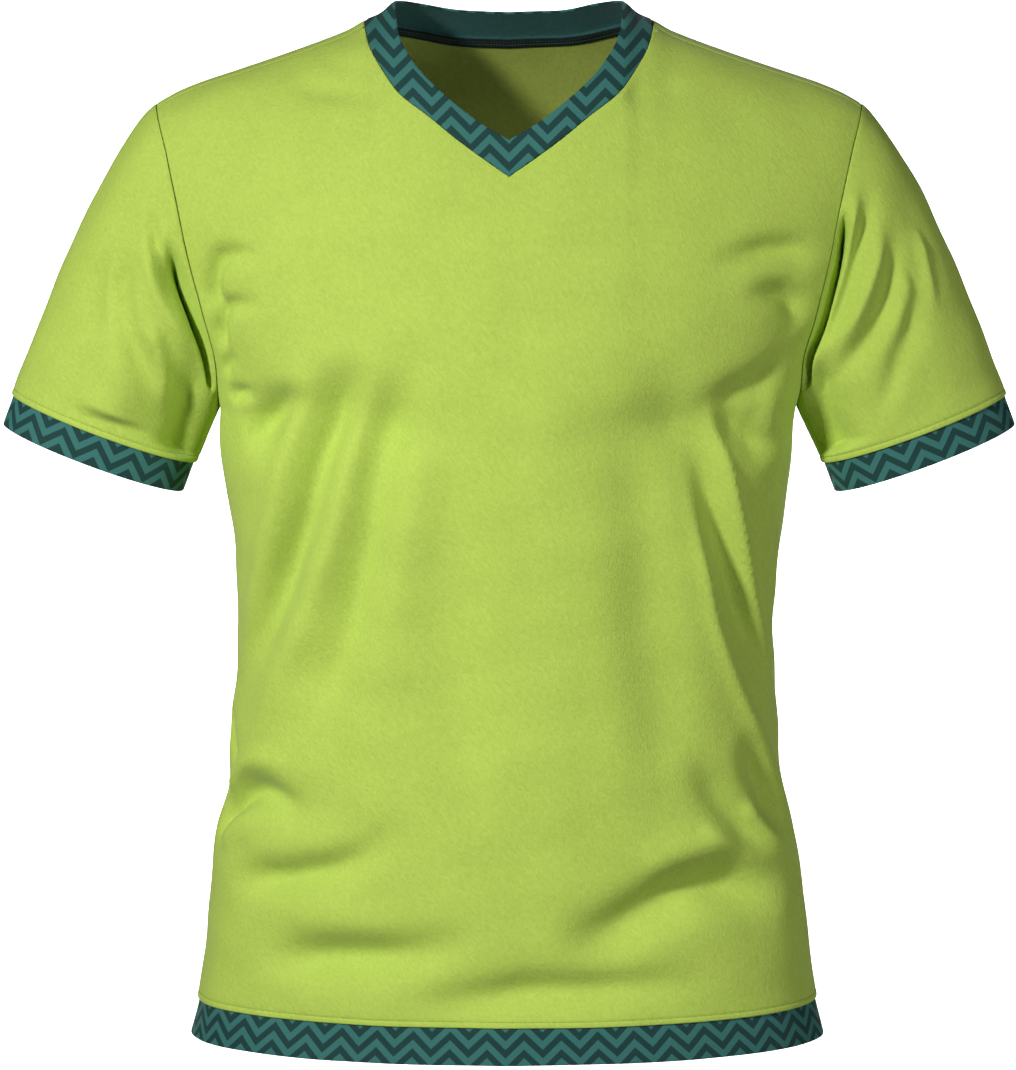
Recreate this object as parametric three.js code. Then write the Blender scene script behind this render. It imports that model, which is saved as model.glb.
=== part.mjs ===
/**
 * V-neck t-shirt with contrast bands, filled out as it hangs on a wearer's shoulders.
 *
 * Millimetres, +Z up. The front faces -Y and +X is to the right as the front is looked at.
 * The origin is midway between the two neck points, on the line of the shoulders.
 *
 * The trunk is one smooth form. Below the armpits it is a tube of superellipse rings. Above them it
 * closes like a vault onto the shoulder line. Each cut piece is a stretch of that form, or of a
 * sleeve's form, given a wall. Places on the trunk are a turn in degrees from the centre front and
 * a climb: millimetres down from the armpits below zero, and 0 to 1 from the armpits to the
 * shoulder line above it.
 */
import * as THREE from 'three';

// ---- cloth and seams
const CLOTH_THICKNESS = 1.5;
const BAND_THICKNESS = 1.5;
const TAPE_THICKNESS = 0.8;
const SEAM_GAP = 0.3;
const SEAM_INSET = 0.25;
const LAP = 6;
const LAP_GAP = 1;
const TAPE_GAP = 0.5;
const UNDER_CLOTH = CLOTH_THICKNESS + LAP_GAP;

// ---- heights on the trunk
const ARMPIT_HEIGHT = -265;
const HEM_SEAM_HEIGHT = -680;
const HEM_HEIGHT = -706;

// ---- trunk rings, from the armpits to the hem
const TRUNK_RINGS = [
  { z: -265, left: 198.5, right: 198.5, front: 122, back: 112, squareness: 2.3 },
  { z: -300, left: 198.0, right: 194.5, front: 122, back: 111, squareness: 2.3 },
  { z: -335, left: 192.5, right: 190.0, front: 121, back: 108, squareness: 2.3 },
  { z: -405, left: 187.0, right: 183.5, front: 118, back: 104, squareness: 2.25 },
  { z: -440, left: 188.0, right: 183.5, front: 117, back: 103, squareness: 2.2 },
  { z: -503, left: 193.5, right: 187.0, front: 115, back: 104, squareness: 2.15 },
  { z: -530, left: 194.5, right: 190.0, front: 114, back: 106, squareness: 2.1 },
  { z: -559, left: 202.5, right: 198.0, front: 113, back: 108, squareness: 2.1 },
  { z: -615, left: 209.0, right: 205.5, front: 111, back: 110, squareness: 2.05 },
  { z: -670, left: 216.0, right: 213.5, front: 110, back: 110, squareness: 2.05 },
  { z: -706, left: 223.5, right: 220.5, front: 111, back: 111, squareness: 2.05 },
];

// ---- shoulder line, from the middle of the neck out to the shoulder tip
const SHOULDER_LINE = [
  { x: 0, z: 21 },
  { x: 45, z: 19.5 },
  { x: 77.4, z: 13 },
  { x: 88, z: 4.6 },
  { x: 98.7, z: 0 },
  { x: 111, z: -7 },
  { x: 148, z: -21 },
  { x: 189, z: -35 },
  { x: 210, z: -42 },
  { x: 227, z: -49 },
  { x: 241, z: -57 },
];
const VAULT_SQUARENESS = 2.3;
const SHOULDER_SEAM_TURN = 7;

// ---- armhole: how far out its seam lies, by the share of the height from armpit to shoulder
const ARMHOLE_REACH = [
  { rise: 0, x: 198.5 },
  { rise: 0.15, x: 200 },
  { rise: 0.3, x: 208.5 },
  { rise: 0.5, x: 218.5 },
  { rise: 0.75, x: 229 },
  { rise: 1, x: 241 },
];
const ARMHOLE_DEPTH_SHARE = 0.885;

// ---- neckline: its seam, and the free edge of the neckband, as the front and back are looked at
const FRONT_NECK = [
  { run: 0, seamX: 0, seamZ: -96.1, edgeX: 0, edgeZ: -71.9 },
  { run: 0.27, seamX: 33.8, seamZ: -72.9, edgeX: 20.5, edgeZ: -60.3 },
  { run: 0.44, seamX: 54.5, seamZ: -56.8, edgeX: 41, edgeZ: -45.1 },
  { run: 0.6, seamX: 75.2, seamZ: -41.4, edgeX: 58.5, edgeZ: -29.2 },
  { run: 0.75, seamX: 89, seamZ: -23.5, edgeX: 69.5, edgeZ: -15 },
  { run: 0.84, seamX: 94.5, seamZ: -14, edgeX: 74.8, edgeZ: -5 },
  { run: 1, seamX: 98.5, seamZ: -1.6, edgeX: 77.4, edgeZ: 10 },
];
const BACK_NECK = [
  { run: 0, seamX: 0, seamZ: -17.1, edgeX: 0, edgeZ: 2.9 },
  { run: 0.38, seamX: 40, seamZ: -14.8, edgeX: 34, edgeZ: 4.6 },
  { run: 0.7, seamX: 73, seamZ: -8, edgeX: 60, edgeZ: 9.3 },
  { run: 0.88, seamX: 90, seamZ: -3, edgeX: 72, edgeZ: 12 },
  { run: 1, seamX: 98.7, seamZ: 0, edgeX: 77.4, edgeZ: 13 },
];
const TAPE_TOP = 1;
const TAPE_BOTTOM = 8;

// ---- sleeve: the ring where the cuff band starts to show, and the way the sleeve runs to it
const CUFF_CENTRE = new THREE.Vector3(-278.7, 0, -281);
const CUFF_HALF_WIDTH = 68;
const CUFF_HALF_DEPTH = 47;
const CUFF_TILT = 20.5;
const CUFF_WIDTH = 22;
const SLEEVE_LEAVE = 0.57;
const SLEEVE_ARRIVE = 0.9;
const LEAVE_OUT = { under: 0.36, over: 0.8 };
const LEAVE_DOWN = { under: 0.93, over: 0.66 };
const LEAVE_FORWARD = 0.35;

// ---- how finely the pieces are divided
const NECK_STEPS = 7;
const SHOULDER_STEPS = 8;
const TRUNK_ROWS = 14;
const VAULT_ROWS = 9;
const SLEEVE_ROWS = 8;

// ---- creases. Width is half the way across one and depth is how far it lifts the cloth, so a hollow's
// is below zero. A spine's points are [girth, height]: the way round the trunk from the centre front,
// below zero to the left, and the height of the point, in millimetres.
const TRUNK_CREASES = [
  {
    name: 'long hollow from the left armpit', width: 14, depth: -8,
    spine: [[-109, -234], [-127, -243], [-139, -269], [-148, -305], [-164, -346], [-182, -380], [-223, -449]],
  },
  {
    name: 'long fold from the left armpit', width: 12, depth: 4,
    spine: [[-109, -242], [-120, -293], [-138, -339], [-162, -394], [-181, -433], [-200, -482], [-238, -556]],
  },
  {
    name: 'soft hollow left of the middle', width: 16, depth: -4,
    spine: [[-83, -241], [-99, -300], [-115, -345], [-128, -375], [-144, -433], [-154, -460]],
  },
  {
    name: 'long fold from the right armpit', width: 9, depth: 6,
    spine: [[95, -247], [110, -278], [127, -323], [144, -361], [160, -396], [178, -430], [217, -493], [258, -520]],
  },
  {
    name: 'deep hollow at the right side', width: 12, depth: -9,
    spine: [[137, -309], [153, -337], [169, -369], [186, -404], [209, -434], [224, -454]],
  },
  {
    name: 'second fold from the right armpit', width: 8, depth: 5,
    spine: [[133, -242], [149, -269], [164, -308], [180, -343], [201, -383], [227, -414], [256, -438]],
  },
  {
    name: 'broad hollow right of the middle', width: 28, depth: -6,
    spine: [[74, -247], [78, -306], [87, -351], [94, -403], [112, -453], [100, -546]],
  },
  {
    name: 'hollow in front of the left armhole', width: 9, depth: -5,
    spine: [[-194, -175], [-181, -155], [-167, -142], [-148, -141]],
  },
  {
    name: 'hollow below the left armpit', width: 10, depth: -5,
    spine: [[-208, -266], [-183, -258], [-161, -242], [-146, -237]],
  },
  {
    name: 'hollow in front of the right armhole', width: 9, depth: -4,
    spine: [[132, -144], [144, -142], [154, -139], [174, -152]],
  },
  {
    name: 'hollow below the right armpit', width: 11, depth: -7,
    spine: [[137, -237], [152, -247], [166, -260], [200, -273]],
  },
  {
    name: 'arched hollow at the left hip', width: 11, depth: -6,
    spine: [[-156, -524], [-172, -520], [-188, -517], [-214, -526], [-232, -549]],
  },
  {
    name: 'level hollow at the left hip', width: 11, depth: -5,
    spine: [[-192, -584], [-154, -572], [-119, -555]],
  },
  {
    name: 'level hollow low on the left', width: 12, depth: -5,
    spine: [[-154, -630], [-114, -622], [-70, -617], [-54, -606]],
  },
  {
    name: 'level hollow above the hem', width: 12, depth: -5,
    spine: [[-31, -650], [30, -647], [90, -642], [141, -646]],
  },
  {
    name: 'slanting hollow at the right hip', width: 10, depth: -5,
    spine: [[155, -519], [171, -540], [187, -553], [204, -564]],
  },
  {
    name: 'level hollow at the right hip', width: 13, depth: -7,
    spine: [[77, -598], [115, -581], [139, -576], [182, -585]],
  },
  {
    name: 'hollow down the back from the right armpit', width: 15, depth: -7,
    spine: [[348, -248], [368, -290], [380, -345], [374, -405], [352, -455], [322, -490]],
  },
  {
    name: 'fold down the back from the left armpit', width: 12, depth: 6,
    spine: [[-352, -245], [-372, -300], [-384, -365], [-372, -430], [-340, -485]],
  },
  {
    name: 'hollow in the small of the back', width: 17, depth: -7,
    spine: [[-440, -440], [-485, -456], [-530, -452], [-575, -436]],
  },
  {
    name: 'lower hollow in the small of the back', width: 16, depth: -6,
    spine: [[410, -520], [450, -506], [500, -504], [545, -516]],
  },
];

// ---- colours
const CLOTH_COLOUR = 0xb9d45c;
const BAND_COLOUR = 0x2f625b;
const TAPE_COLOUR = 0x1b2c2a;

const clothFinish = new THREE.MeshStandardMaterial({ color: CLOTH_COLOUR, roughness: 0.9, metalness: 0 });
const bandFinish = new THREE.MeshStandardMaterial({ color: BAND_COLOUR, roughness: 0.9, metalness: 0 });
const tapeFinish = new THREE.MeshStandardMaterial({ color: TAPE_COLOUR, roughness: 0.9, metalness: 0 });

const DEGREES = Math.PI / 180;
const QUARTER_TURN = 90;
const HALF_TURN = 180;
const FULL_TURN = 360;

// ---- small steps that measure which way a form faces
const TURN_PROBE = 0.4;
const CLIMB_PROBE = 0.004;
const HEIGHT_PROBE = 1;
const SLEEVE_PROBE = 0.01;

/** Read one column of a table at a place along its key, on a smooth curve through its rows. */
function readTable(table, key, column, at) {
  const last = table.length - 1;
  const rising = table[last][key] > table[0][key];
  let row = 0;
  while (row < last - 1 && (rising ? at > table[row + 1][key] : at < table[row + 1][key])) {
    row += 1;
  }
  const slope = (first, second) =>
    (table[second][column] - table[first][column]) / (table[second][key] - table[first][key]);
  const span = table[row + 1][key] - table[row][key];
  const startSlope = row > 0 ? slope(row - 1, row + 1) : slope(row, row + 1);
  const endSlope = row < last - 1 ? slope(row, row + 2) : slope(row, row + 1);
  const share = THREE.MathUtils.clamp((at - table[row][key]) / span, 0, 1);
  const square = share * share;
  const cube = square * share;
  return (2 * cube - 3 * square + 1) * table[row][column]
    + (cube - 2 * square + share) * span * startSlope
    + (3 * square - 2 * cube) * table[row + 1][column]
    + (cube - square) * span * endSlope;
}

/** Height of the shoulder line at a distance out from the middle. */
function shoulderHeight(x) {
  return readTable(SHOULDER_LINE, 'x', 'z', Math.abs(x));
}

/** Share of the trunk's depth at which the armhole's seam lies, by its rise. */
function armholeDepthShare(rise) {
  return ARMHOLE_DEPTH_SHARE * Math.sqrt(rise / (1 + rise));
}

/** Half-width that the vault's section would have if no armhole were cut from it. */
function vaultHalfWidth(rise) {
  const cut = 1 - armholeDepthShare(rise) ** VAULT_SQUARENESS;
  return readTable(ARMHOLE_REACH, 'rise', 'x', rise) / cut ** (1 / VAULT_SQUARENESS);
}

/** Turn from the centre at which the armhole cuts the vault. */
function armholeTurn(rise) {
  return Math.acos(armholeDepthShare(rise) ** (VAULT_SQUARENESS / 2)) / DEGREES;
}

/** Point on the trunk's smooth form. */
function smoothTrunkPoint(turn, climb) {
  const side = Math.sign(turn) || 1;
  const overRidge = climb > 1;
  const turned = Math.abs(turn);
  const folded = turned > HALF_TURN ? 2 * HALF_TURN - turned : turned;
  const handed = turned > HALF_TURN ? -side : side;
  const onFront = (folded <= QUARTER_TURN) !== overRidge;
  const angle = (folded <= QUARTER_TURN ? folded : HALF_TURN - folded) * DEGREES;
  if (climb <= 0) {
    const z = ARMPIT_HEIGHT + climb;
    const power = 2 / readTable(TRUNK_RINGS, 'z', 'squareness', z);
    const halfWidth = readTable(TRUNK_RINGS, 'z', handed < 0 ? 'left' : 'right', z);
    const depth = readTable(TRUNK_RINGS, 'z', onFront ? 'front' : 'back', z);
    const reach = depth * Math.max(Math.cos(angle), 0) ** power;
    return new THREE.Vector3(handed * halfWidth * Math.sin(angle) ** power, onFront ? -reach : reach, z);
  }
  const lean = (overRidge ? 2 - climb : climb) * QUARTER_TURN * DEGREES;
  const rise = Math.sin(lean);
  const power = 2 / VAULT_SQUARENESS;
  const depth = TRUNK_RINGS[0][onFront ? 'front' : 'back'];
  const x = vaultHalfWidth(rise) * Math.sin(angle) ** power;
  const reach = depth * Math.max(Math.cos(angle), 0) ** power * Math.cos(lean);
  const z = ARMPIT_HEIGHT + (shoulderHeight(x) - ARMPIT_HEIGHT) * rise;
  return new THREE.Vector3(handed * x, onFront ? -reach : reach, z);
}

/** Direction out of a form at a place, from two small steps across it. */
function outwardFrom(form, across, along, acrossStep, alongStep) {
  const acrossWay = form(across + acrossStep, along).sub(form(across - acrossStep, along));
  const alongWay = form(across, along + alongStep).sub(form(across, along - alongStep));
  return acrossWay.cross(alongWay).normalize();
}

/** Direction out of the trunk, smooth or creased. */
function trunkOutward(form, turn, climb) {
  return outwardFrom(form, turn, climb, TURN_PROBE, climb < 0 ? HEIGHT_PROBE : CLIMB_PROBE);
}

/** Way round the chest from the centre front to each whole degree of turn. */
const CHEST_GIRTH = (() => {
  const girths = [0];
  for (let turn = 1; turn <= HALF_TURN; turn += 1) {
    const step = smoothTrunkPoint(turn, 0).distanceTo(smoothTrunkPoint(turn - 1, 0));
    girths.push(girths[turn - 1] + step);
  }
  return girths;
})();

/** Way round the chest to any turn. */
function girthAt(turn) {
  const turned = Math.min(Math.abs(turn), HALF_TURN);
  const whole = Math.min(Math.floor(turned), HALF_TURN - 1);
  const girth = THREE.MathUtils.lerp(CHEST_GIRTH[whole], CHEST_GIRTH[whole + 1], turned - whole);
  return Math.sign(turn) * girth;
}

/** How far one crease lifts or sinks the cloth at a place. */
function creaseLift(crease, girth, height) {
  let nearest = Infinity;
  let travelled = 0;
  let nearestTravel = 0;
  for (let index = 0; index + 1 < crease.spine.length; index += 1) {
    const [startGirth, startHeight] = crease.spine[index];
    const [endGirth, endHeight] = crease.spine[index + 1];
    const runGirth = endGirth - startGirth;
    const runHeight = endHeight - startHeight;
    const length = Math.hypot(runGirth, runHeight);
    const along = (girth - startGirth) * runGirth + (height - startHeight) * runHeight;
    const share = THREE.MathUtils.clamp(along / (length * length), 0, 1);
    const away = Math.hypot(girth - startGirth - share * runGirth, height - startHeight - share * runHeight);
    if (away < nearest) {
      nearest = away;
      nearestTravel = travelled + share * length;
    }
    travelled += length;
  }
  const middle = Math.sin(Math.PI * THREE.MathUtils.clamp(nearestTravel / travelled, 0.04, 0.96));
  return crease.depth * Math.sqrt(middle) * Math.exp(-((nearest / crease.width) ** 2));
}

/** Point on the trunk with its creases. */
function trunkPoint(turn, climb) {
  const point = smoothTrunkPoint(turn, climb);
  const girth = girthAt(turn);
  const wholeGirth = 2 * CHEST_GIRTH[HALF_TURN];
  let lift = 0;
  for (const crease of TRUNK_CREASES) {
    lift += creaseLift(crease, girth, point.z);
    lift += creaseLift(crease, girth + wholeGirth, point.z);
    lift += creaseLift(crease, girth - wholeGirth, point.z);
  }
  return point.addScaledVector(trunkOutward(smoothTrunkPoint, turn, climb), lift);
}

/** Place on the trunk of a point of the neckline or neckband, as a share of the armhole's turn. */
function vaultPlace(x, z) {
  const rise = Math.min((z - ARMPIT_HEIGHT) / (shoulderHeight(x) - ARMPIT_HEIGHT), 1);
  const angle = Math.asin((x / vaultHalfWidth(rise)) ** (VAULT_SQUARENESS / 2)) / DEGREES;
  return { share: angle / armholeTurn(rise), turn: angle, climb: Math.asin(rise) / DEGREES / QUARTER_TURN };
}

/** Turn of a column of the trunk at a climb. A column keeps its share of the way to the armhole. */
function columnTurn(share, climb) {
  if (climb <= 0) {
    return share * QUARTER_TURN;
  }
  const lean = (climb > 1 ? 2 - climb : climb) * QUARTER_TURN * DEGREES;
  return share * armholeTurn(Math.sin(lean));
}

/** A sheet: points, the direction out of the cloth at each, and four-sided faces between them. */
function newSheet() {
  return { points: [], outward: [], faces: [] };
}

/** Add a grid of places to a sheet and give back the index of each. */
function addGrid(sheet, rows, columns, placeAt, closed = false) {
  const indices = [];
  for (let row = 0; row < rows; row += 1) {
    indices.push([]);
    for (let column = 0; column < columns; column += 1) {
      const { point, outward } = placeAt(row, column);
      sheet.points.push(point);
      sheet.outward.push(outward);
      indices[row].push(sheet.points.length - 1);
    }
  }
  joinRows(sheet, indices, closed);
  return indices;
}

/** Join rows of indices with four-sided faces. */
function joinRows(sheet, indices, closed = false) {
  for (let row = 0; row + 1 < indices.length; row += 1) {
    const lower = indices[row];
    const upper = indices[row + 1];
    const spans = closed ? lower.length : lower.length - 1;
    for (let column = 0; column < spans; column += 1) {
      const next = (column + 1) % lower.length;
      sheet.faces.push([lower[column], lower[next], upper[next], upper[column]]);
    }
  }
}

/** Edges that belong to one face only, in the direction that the face runs. */
function freeEdges(sheet) {
  const uses = new Map();
  for (const face of sheet.faces) {
    face.forEach((from, corner) => {
      const to = face[(corner + 1) % face.length];
      const key = from < to ? `${from} ${to}` : `${to} ${from}`;
      uses.set(key, uses.has(key) ? null : [from, to]);
    });
  }
  return [...uses.values()].filter((edge) => edge !== null);
}

/** Draw the free edges of a sheet back from the seam line, within its own surface. */
function drawBackEdges(sheet, amount) {
  const inwardWays = new Map();
  for (const [from, to] of freeEdges(sheet)) {
    const run = sheet.points[to].clone().sub(sheet.points[from]);
    for (const end of [from, to]) {
      const inward = sheet.outward[end].clone().cross(run).normalize();
      inwardWays.set(end, [...(inwardWays.get(end) ?? []), inward]);
    }
  }
  for (const [index, [first, second]] of inwardWays) {
    const mitre = first.clone().add(second).divideScalar(1 + Math.max(first.dot(second), 0));
    sheet.points[index].addScaledVector(mitre, amount);
  }
}

/** Closed wall of cloth on a sheet, its outer face moved out by outset. */
function wall(sheet, outset, thickness) {
  const count = sheet.points.length;
  const coordinates = [];
  for (const depth of [outset, outset - thickness]) {
    sheet.points.forEach((point, index) => {
      const placed = point.clone().addScaledVector(sheet.outward[index], depth);
      coordinates.push(placed.x, placed.y, placed.z);
    });
  }
  const triangles = [];
  const { points } = sheet;
  for (const [a, b, c, d] of sheet.faces) {
    const firstIsShorter = points[a].distanceTo(points[c]) < points[b].distanceTo(points[d]);
    const halves = firstIsShorter ? [[a, b, c], [a, c, d]] : [[a, b, d], [b, c, d]];
    for (const [first, second, third] of halves) {
      triangles.push(first, second, third, first + count, third + count, second + count);
    }
  }
  for (const [from, to] of freeEdges(sheet)) {
    triangles.push(to, from, from + count, to, from + count, to + count);
  }
  const geometry = new THREE.BufferGeometry();
  geometry.setAttribute('position', new THREE.Float32BufferAttribute(coordinates, 3));
  geometry.setIndex(triangles);
  return geometry;
}

/** Turn every face of a sheet over when its first faces look into the cloth. */
function faceOutward(sheet) {
  let agreement = 0;
  for (const [a, b, , d] of sheet.faces) {
    const across = sheet.points[b].clone().sub(sheet.points[a]);
    const up = sheet.points[d].clone().sub(sheet.points[a]);
    agreement += Math.sign(across.cross(up).dot(sheet.outward[a]));
  }
  if (agreement < 0) {
    sheet.faces.forEach((face) => face.reverse());
  }
  return sheet;
}

/** Named mesh of a sheet's wall. */
function clothPiece(name, sheet, outset, thickness, finish) {
  const mesh = new THREE.Mesh(wall(faceOutward(sheet), outset, thickness), finish);
  mesh.name = name;
  return mesh;
}

/**
 * Point of the armhole seam, and the way its edge faces: away from the middle of the arm.
 * Around is degrees from the armpit, up the front to the shoulder tip at 180, and down the back.
 */
function armholePlace(side, around) {
  const rise = (1 - Math.cos(around * DEGREES)) / 2;
  const turn = armholeTurn(rise);
  const climb = Math.asin(rise) / DEGREES / QUARTER_TURN;
  const onFront = ((around + FULL_TURN) % FULL_TURN) <= HALF_TURN;
  const point = trunkPoint(side * (onFront ? turn : HALF_TURN - turn), climb);
  const outward = new THREE.Vector3(0, -Math.sin(around * DEGREES), -Math.cos(around * DEGREES));
  return { point, outward };
}

/** Degrees around the armhole at which a panel's row meets it. */
function armholeAround(onFront, climb) {
  const lean = (climb > 1 ? 2 - climb : climb) * QUARTER_TURN * DEGREES;
  const around = Math.acos(1 - 2 * Math.sin(lean)) / DEGREES;
  return onFront !== climb > 1 ? around : FULL_TURN - around;
}

/** Place on a panel: its crease-laden point, and its outward way, which at the armhole is the seam's. */
function panelPlace(onFront, side, share, climb) {
  const atArmhole = share === 1 && climb >= 0;
  if (atArmhole) {
    return armholePlace(side, armholeAround(onFront, climb));
  }
  const turn = columnTurn(share, climb);
  const signedTurn = side * (onFront ? turn : HALF_TURN - turn);
  return {
    point: trunkPoint(signedTurn, climb),
    outward: trunkOutward(trunkPoint, signedTurn, climb),
  };
}

/** Columns of one half of a panel, from the centre to the armhole: share of the way, and top climb. */
function halfColumns(neckTable, shoulderClimb) {
  const columns = [];
  for (let step = 0; step <= NECK_STEPS; step += 1) {
    const run = step / NECK_STEPS;
    const x = readTable(neckTable, 'run', 'seamX', run);
    const z = readTable(neckTable, 'run', 'seamZ', run);
    const place = vaultPlace(x, z);
    columns.push({ share: place.share, top: step === NECK_STEPS ? shoulderClimb : place.climb });
  }
  const neckShare = columns[NECK_STEPS].share;
  for (let step = 1; step <= SHOULDER_STEPS; step += 1) {
    const share = step === SHOULDER_STEPS ? 1 : neckShare + ((1 - neckShare) * step) / SHOULDER_STEPS;
    columns.push({ share, top: shoulderClimb });
  }
  return columns;
}

/** Columns of a whole panel, from the left armhole to the right one. */
function panelColumns(neckTable, shoulderClimb) {
  const half = halfColumns(neckTable, shoulderClimb);
  const left = half.slice(1).reverse().map((column) => ({ ...column, side: -1 }));
  const right = half.map((column) => ({ ...column, side: 1 }));
  return [...left, ...right];
}

/** Climb of each row of a column, from the hem seam to the column's top. */
function rowClimbs(top) {
  const climbs = [];
  for (let row = 0; row < TRUNK_ROWS; row += 1) {
    climbs.push((HEM_SEAM_HEIGHT - ARMPIT_HEIGHT) * (1 - row / TRUNK_ROWS));
  }
  for (let row = 0; row <= VAULT_ROWS; row += 1) {
    climbs.push(top * (row / VAULT_ROWS) ** 2);
  }
  return climbs;
}

const FRONT_SHOULDER_CLIMB = 1 - SHOULDER_SEAM_TURN / QUARTER_TURN;
const frontColumns = panelColumns(FRONT_NECK, FRONT_SHOULDER_CLIMB);
const backColumns = panelColumns(BACK_NECK, 1);

/** Sheet of the front or back panel, up to its neckline and the shoulder line or seam. */
function panelSheet(onFront) {
  const columns = onFront ? frontColumns : backColumns;
  const climbs = columns.map((column) => rowClimbs(column.top));
  const sheet = newSheet();
  const indices = addGrid(sheet, climbs[0].length, columns.length, (row, column) =>
    panelPlace(onFront, columns[column].side, columns[column].share, climbs[column][row]));
  return { sheet, indices };
}

/** Front panel. */
function makeFrontPanel() {
  const { sheet } = panelSheet(true);
  drawBackEdges(faceOutward(sheet), SEAM_INSET);
  return clothPiece('front_panel', sheet, 0, CLOTH_THICKNESS, clothFinish);
}

/** Back panel, which runs over each shoulder line to the seam just in front of it. */
function makeBackPanel() {
  const { sheet, indices } = panelSheet(false);
  const ridge = indices[indices.length - 1];
  for (const side of [-1, 1]) {
    const shoulder = frontColumns
      .map((column, index) => ({ ...column, index }))
      .filter((column) => column.side === side && column.top === FRONT_SHOULDER_CLIMB);
    const seamRow = shoulder.map((column) => {
      const { point, outward } = panelPlace(true, side, column.share, FRONT_SHOULDER_CLIMB);
      sheet.points.push(point);
      sheet.outward.push(outward);
      return sheet.points.length - 1;
    });
    joinRows(sheet, [shoulder.map((column) => ridge[column.index]), seamRow]);
  }
  drawBackEdges(faceOutward(sheet), SEAM_INSET);
  return clothPiece('back_panel', sheet, 0, CLOTH_THICKNESS, clothFinish);
}

/** Degrees around the armhole of each of its stations, the same as the ends of the panels' rows. */
function armholeStations() {
  const front = rowClimbs(FRONT_SHOULDER_CLIMB).slice(TRUNK_ROWS);
  const back = rowClimbs(1).slice(TRUNK_ROWS + 1).reverse();
  return [
    ...front.map((climb) => armholeAround(true, climb)),
    ...back.map((climb) => armholeAround(false, climb)),
  ];
}

/**
 * Point of a sleeve's form, from its armhole at down 0 to the cuff seam at 1, and beyond in mm.
 * It is worked out as on the left and turned over to its own side at the end.
 */
function sleevePoint(side, around, down, beyond = 0) {
  const start = armholePlace(side, around).point;
  start.x = -side * start.x - SEAM_GAP;
  const towardsOver = -Math.cos(around * DEGREES);
  const towardsFront = Math.sin(around * DEGREES);
  const over = (1 + towardsOver) / 2;
  const tilt = CUFF_TILT * DEGREES;
  const outer = new THREE.Vector3(-Math.cos(tilt), 0, Math.sin(tilt));
  const axis = new THREE.Vector3(-Math.sin(tilt), 0, -Math.cos(tilt));
  const forward = new THREE.Vector3(0, -1, 0);
  const end = CUFF_CENTRE.clone()
    .addScaledVector(outer, CUFF_HALF_WIDTH * towardsOver)
    .addScaledVector(forward, CUFF_HALF_DEPTH * towardsFront);
  const leave = new THREE.Vector3(
    -THREE.MathUtils.lerp(LEAVE_OUT.under, LEAVE_OUT.over, over),
    -LEAVE_FORWARD * towardsFront,
    -THREE.MathUtils.lerp(LEAVE_DOWN.under, LEAVE_DOWN.over, over),
  ).normalize();
  const chord = start.distanceTo(end);
  const square = down * down;
  const cube = square * down;
  const point = start.multiplyScalar(2 * cube - 3 * square + 1)
    .addScaledVector(leave, (cube - 2 * square + down) * chord * SLEEVE_LEAVE)
    .addScaledVector(end, 3 * square - 2 * cube)
    .addScaledVector(axis, (cube - square) * chord * SLEEVE_ARRIVE + beyond);
  point.x *= -side;
  return point;
}

/** Place on a sleeve: its point and its outward way, which at the armhole is the seam's. */
function sleevePlace(side, around, down, beyond = 0) {
  const point = sleevePoint(side, around, down, beyond);
  if (down === 0) {
    return { point, outward: armholePlace(side, around).outward };
  }
  const form = (place, way) => sleevePoint(side, place, Math.min(way, 1), beyond);
  const outward = outwardFrom(form, around, down, 1, SLEEVE_PROBE).multiplyScalar(-side);
  return { point, outward };
}

/** Sleeve, from its armhole seam to the edge that laps over the cuff band. */
function makeSleeve(name, side) {
  const stations = armholeStations();
  const sheet = newSheet();
  addGrid(sheet, SLEEVE_ROWS + 1, stations.length, (row, column) =>
    sleevePlace(side, stations[column], row / SLEEVE_ROWS), true);
  return clothPiece(name, sheet, 0, CLOTH_THICKNESS, clothFinish);
}

/** Cuff band, whose upper edge lies inside the sleeve. */
function makeCuffBand(name, side) {
  const stations = armholeStations();
  const reaches = [-LAP, CUFF_WIDTH / 3, CUFF_WIDTH];
  const sheet = newSheet();
  addGrid(sheet, reaches.length, stations.length, (row, column) =>
    sleevePlace(side, stations[column], 1, reaches[row]), true);
  return clothPiece(name, sheet, -UNDER_CLOTH, BAND_THICKNESS, bandFinish);
}

/** Hem band, whose upper edge lies inside the front and back panels. */
function makeHemBand() {
  const front = frontColumns.map((column) => column.side * column.share * QUARTER_TURN);
  const back = backColumns.slice(1, -1).reverse().map((column) =>
    column.side * (HALF_TURN - column.share * QUARTER_TURN));
  const turns = [...front, ...back];
  const heights = [HEM_HEIGHT, HEM_SEAM_HEIGHT, HEM_SEAM_HEIGHT + LAP];
  const sheet = newSheet();
  addGrid(sheet, heights.length, turns.length, (row, column) => {
    const climb = heights[row] - ARMPIT_HEIGHT;
    const point = trunkPoint(turns[column], climb);
    return { point, outward: trunkOutward(trunkPoint, turns[column], climb) };
  }, true);
  return clothPiece('hem_band', sheet, -UNDER_CLOTH, BAND_THICKNESS, bandFinish);
}

/** Place on the vault of a point seen at x and z, on the front or the back. */
function vaultSurfacePlace(onFront, side, x, z) {
  const { turn, climb } = vaultPlace(x, z);
  const signedTurn = side * (onFront ? turn : HALF_TURN - turn);
  return { point: trunkPoint(signedTurn, climb), outward: trunkOutward(trunkPoint, signedTurn, climb) };
}

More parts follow.
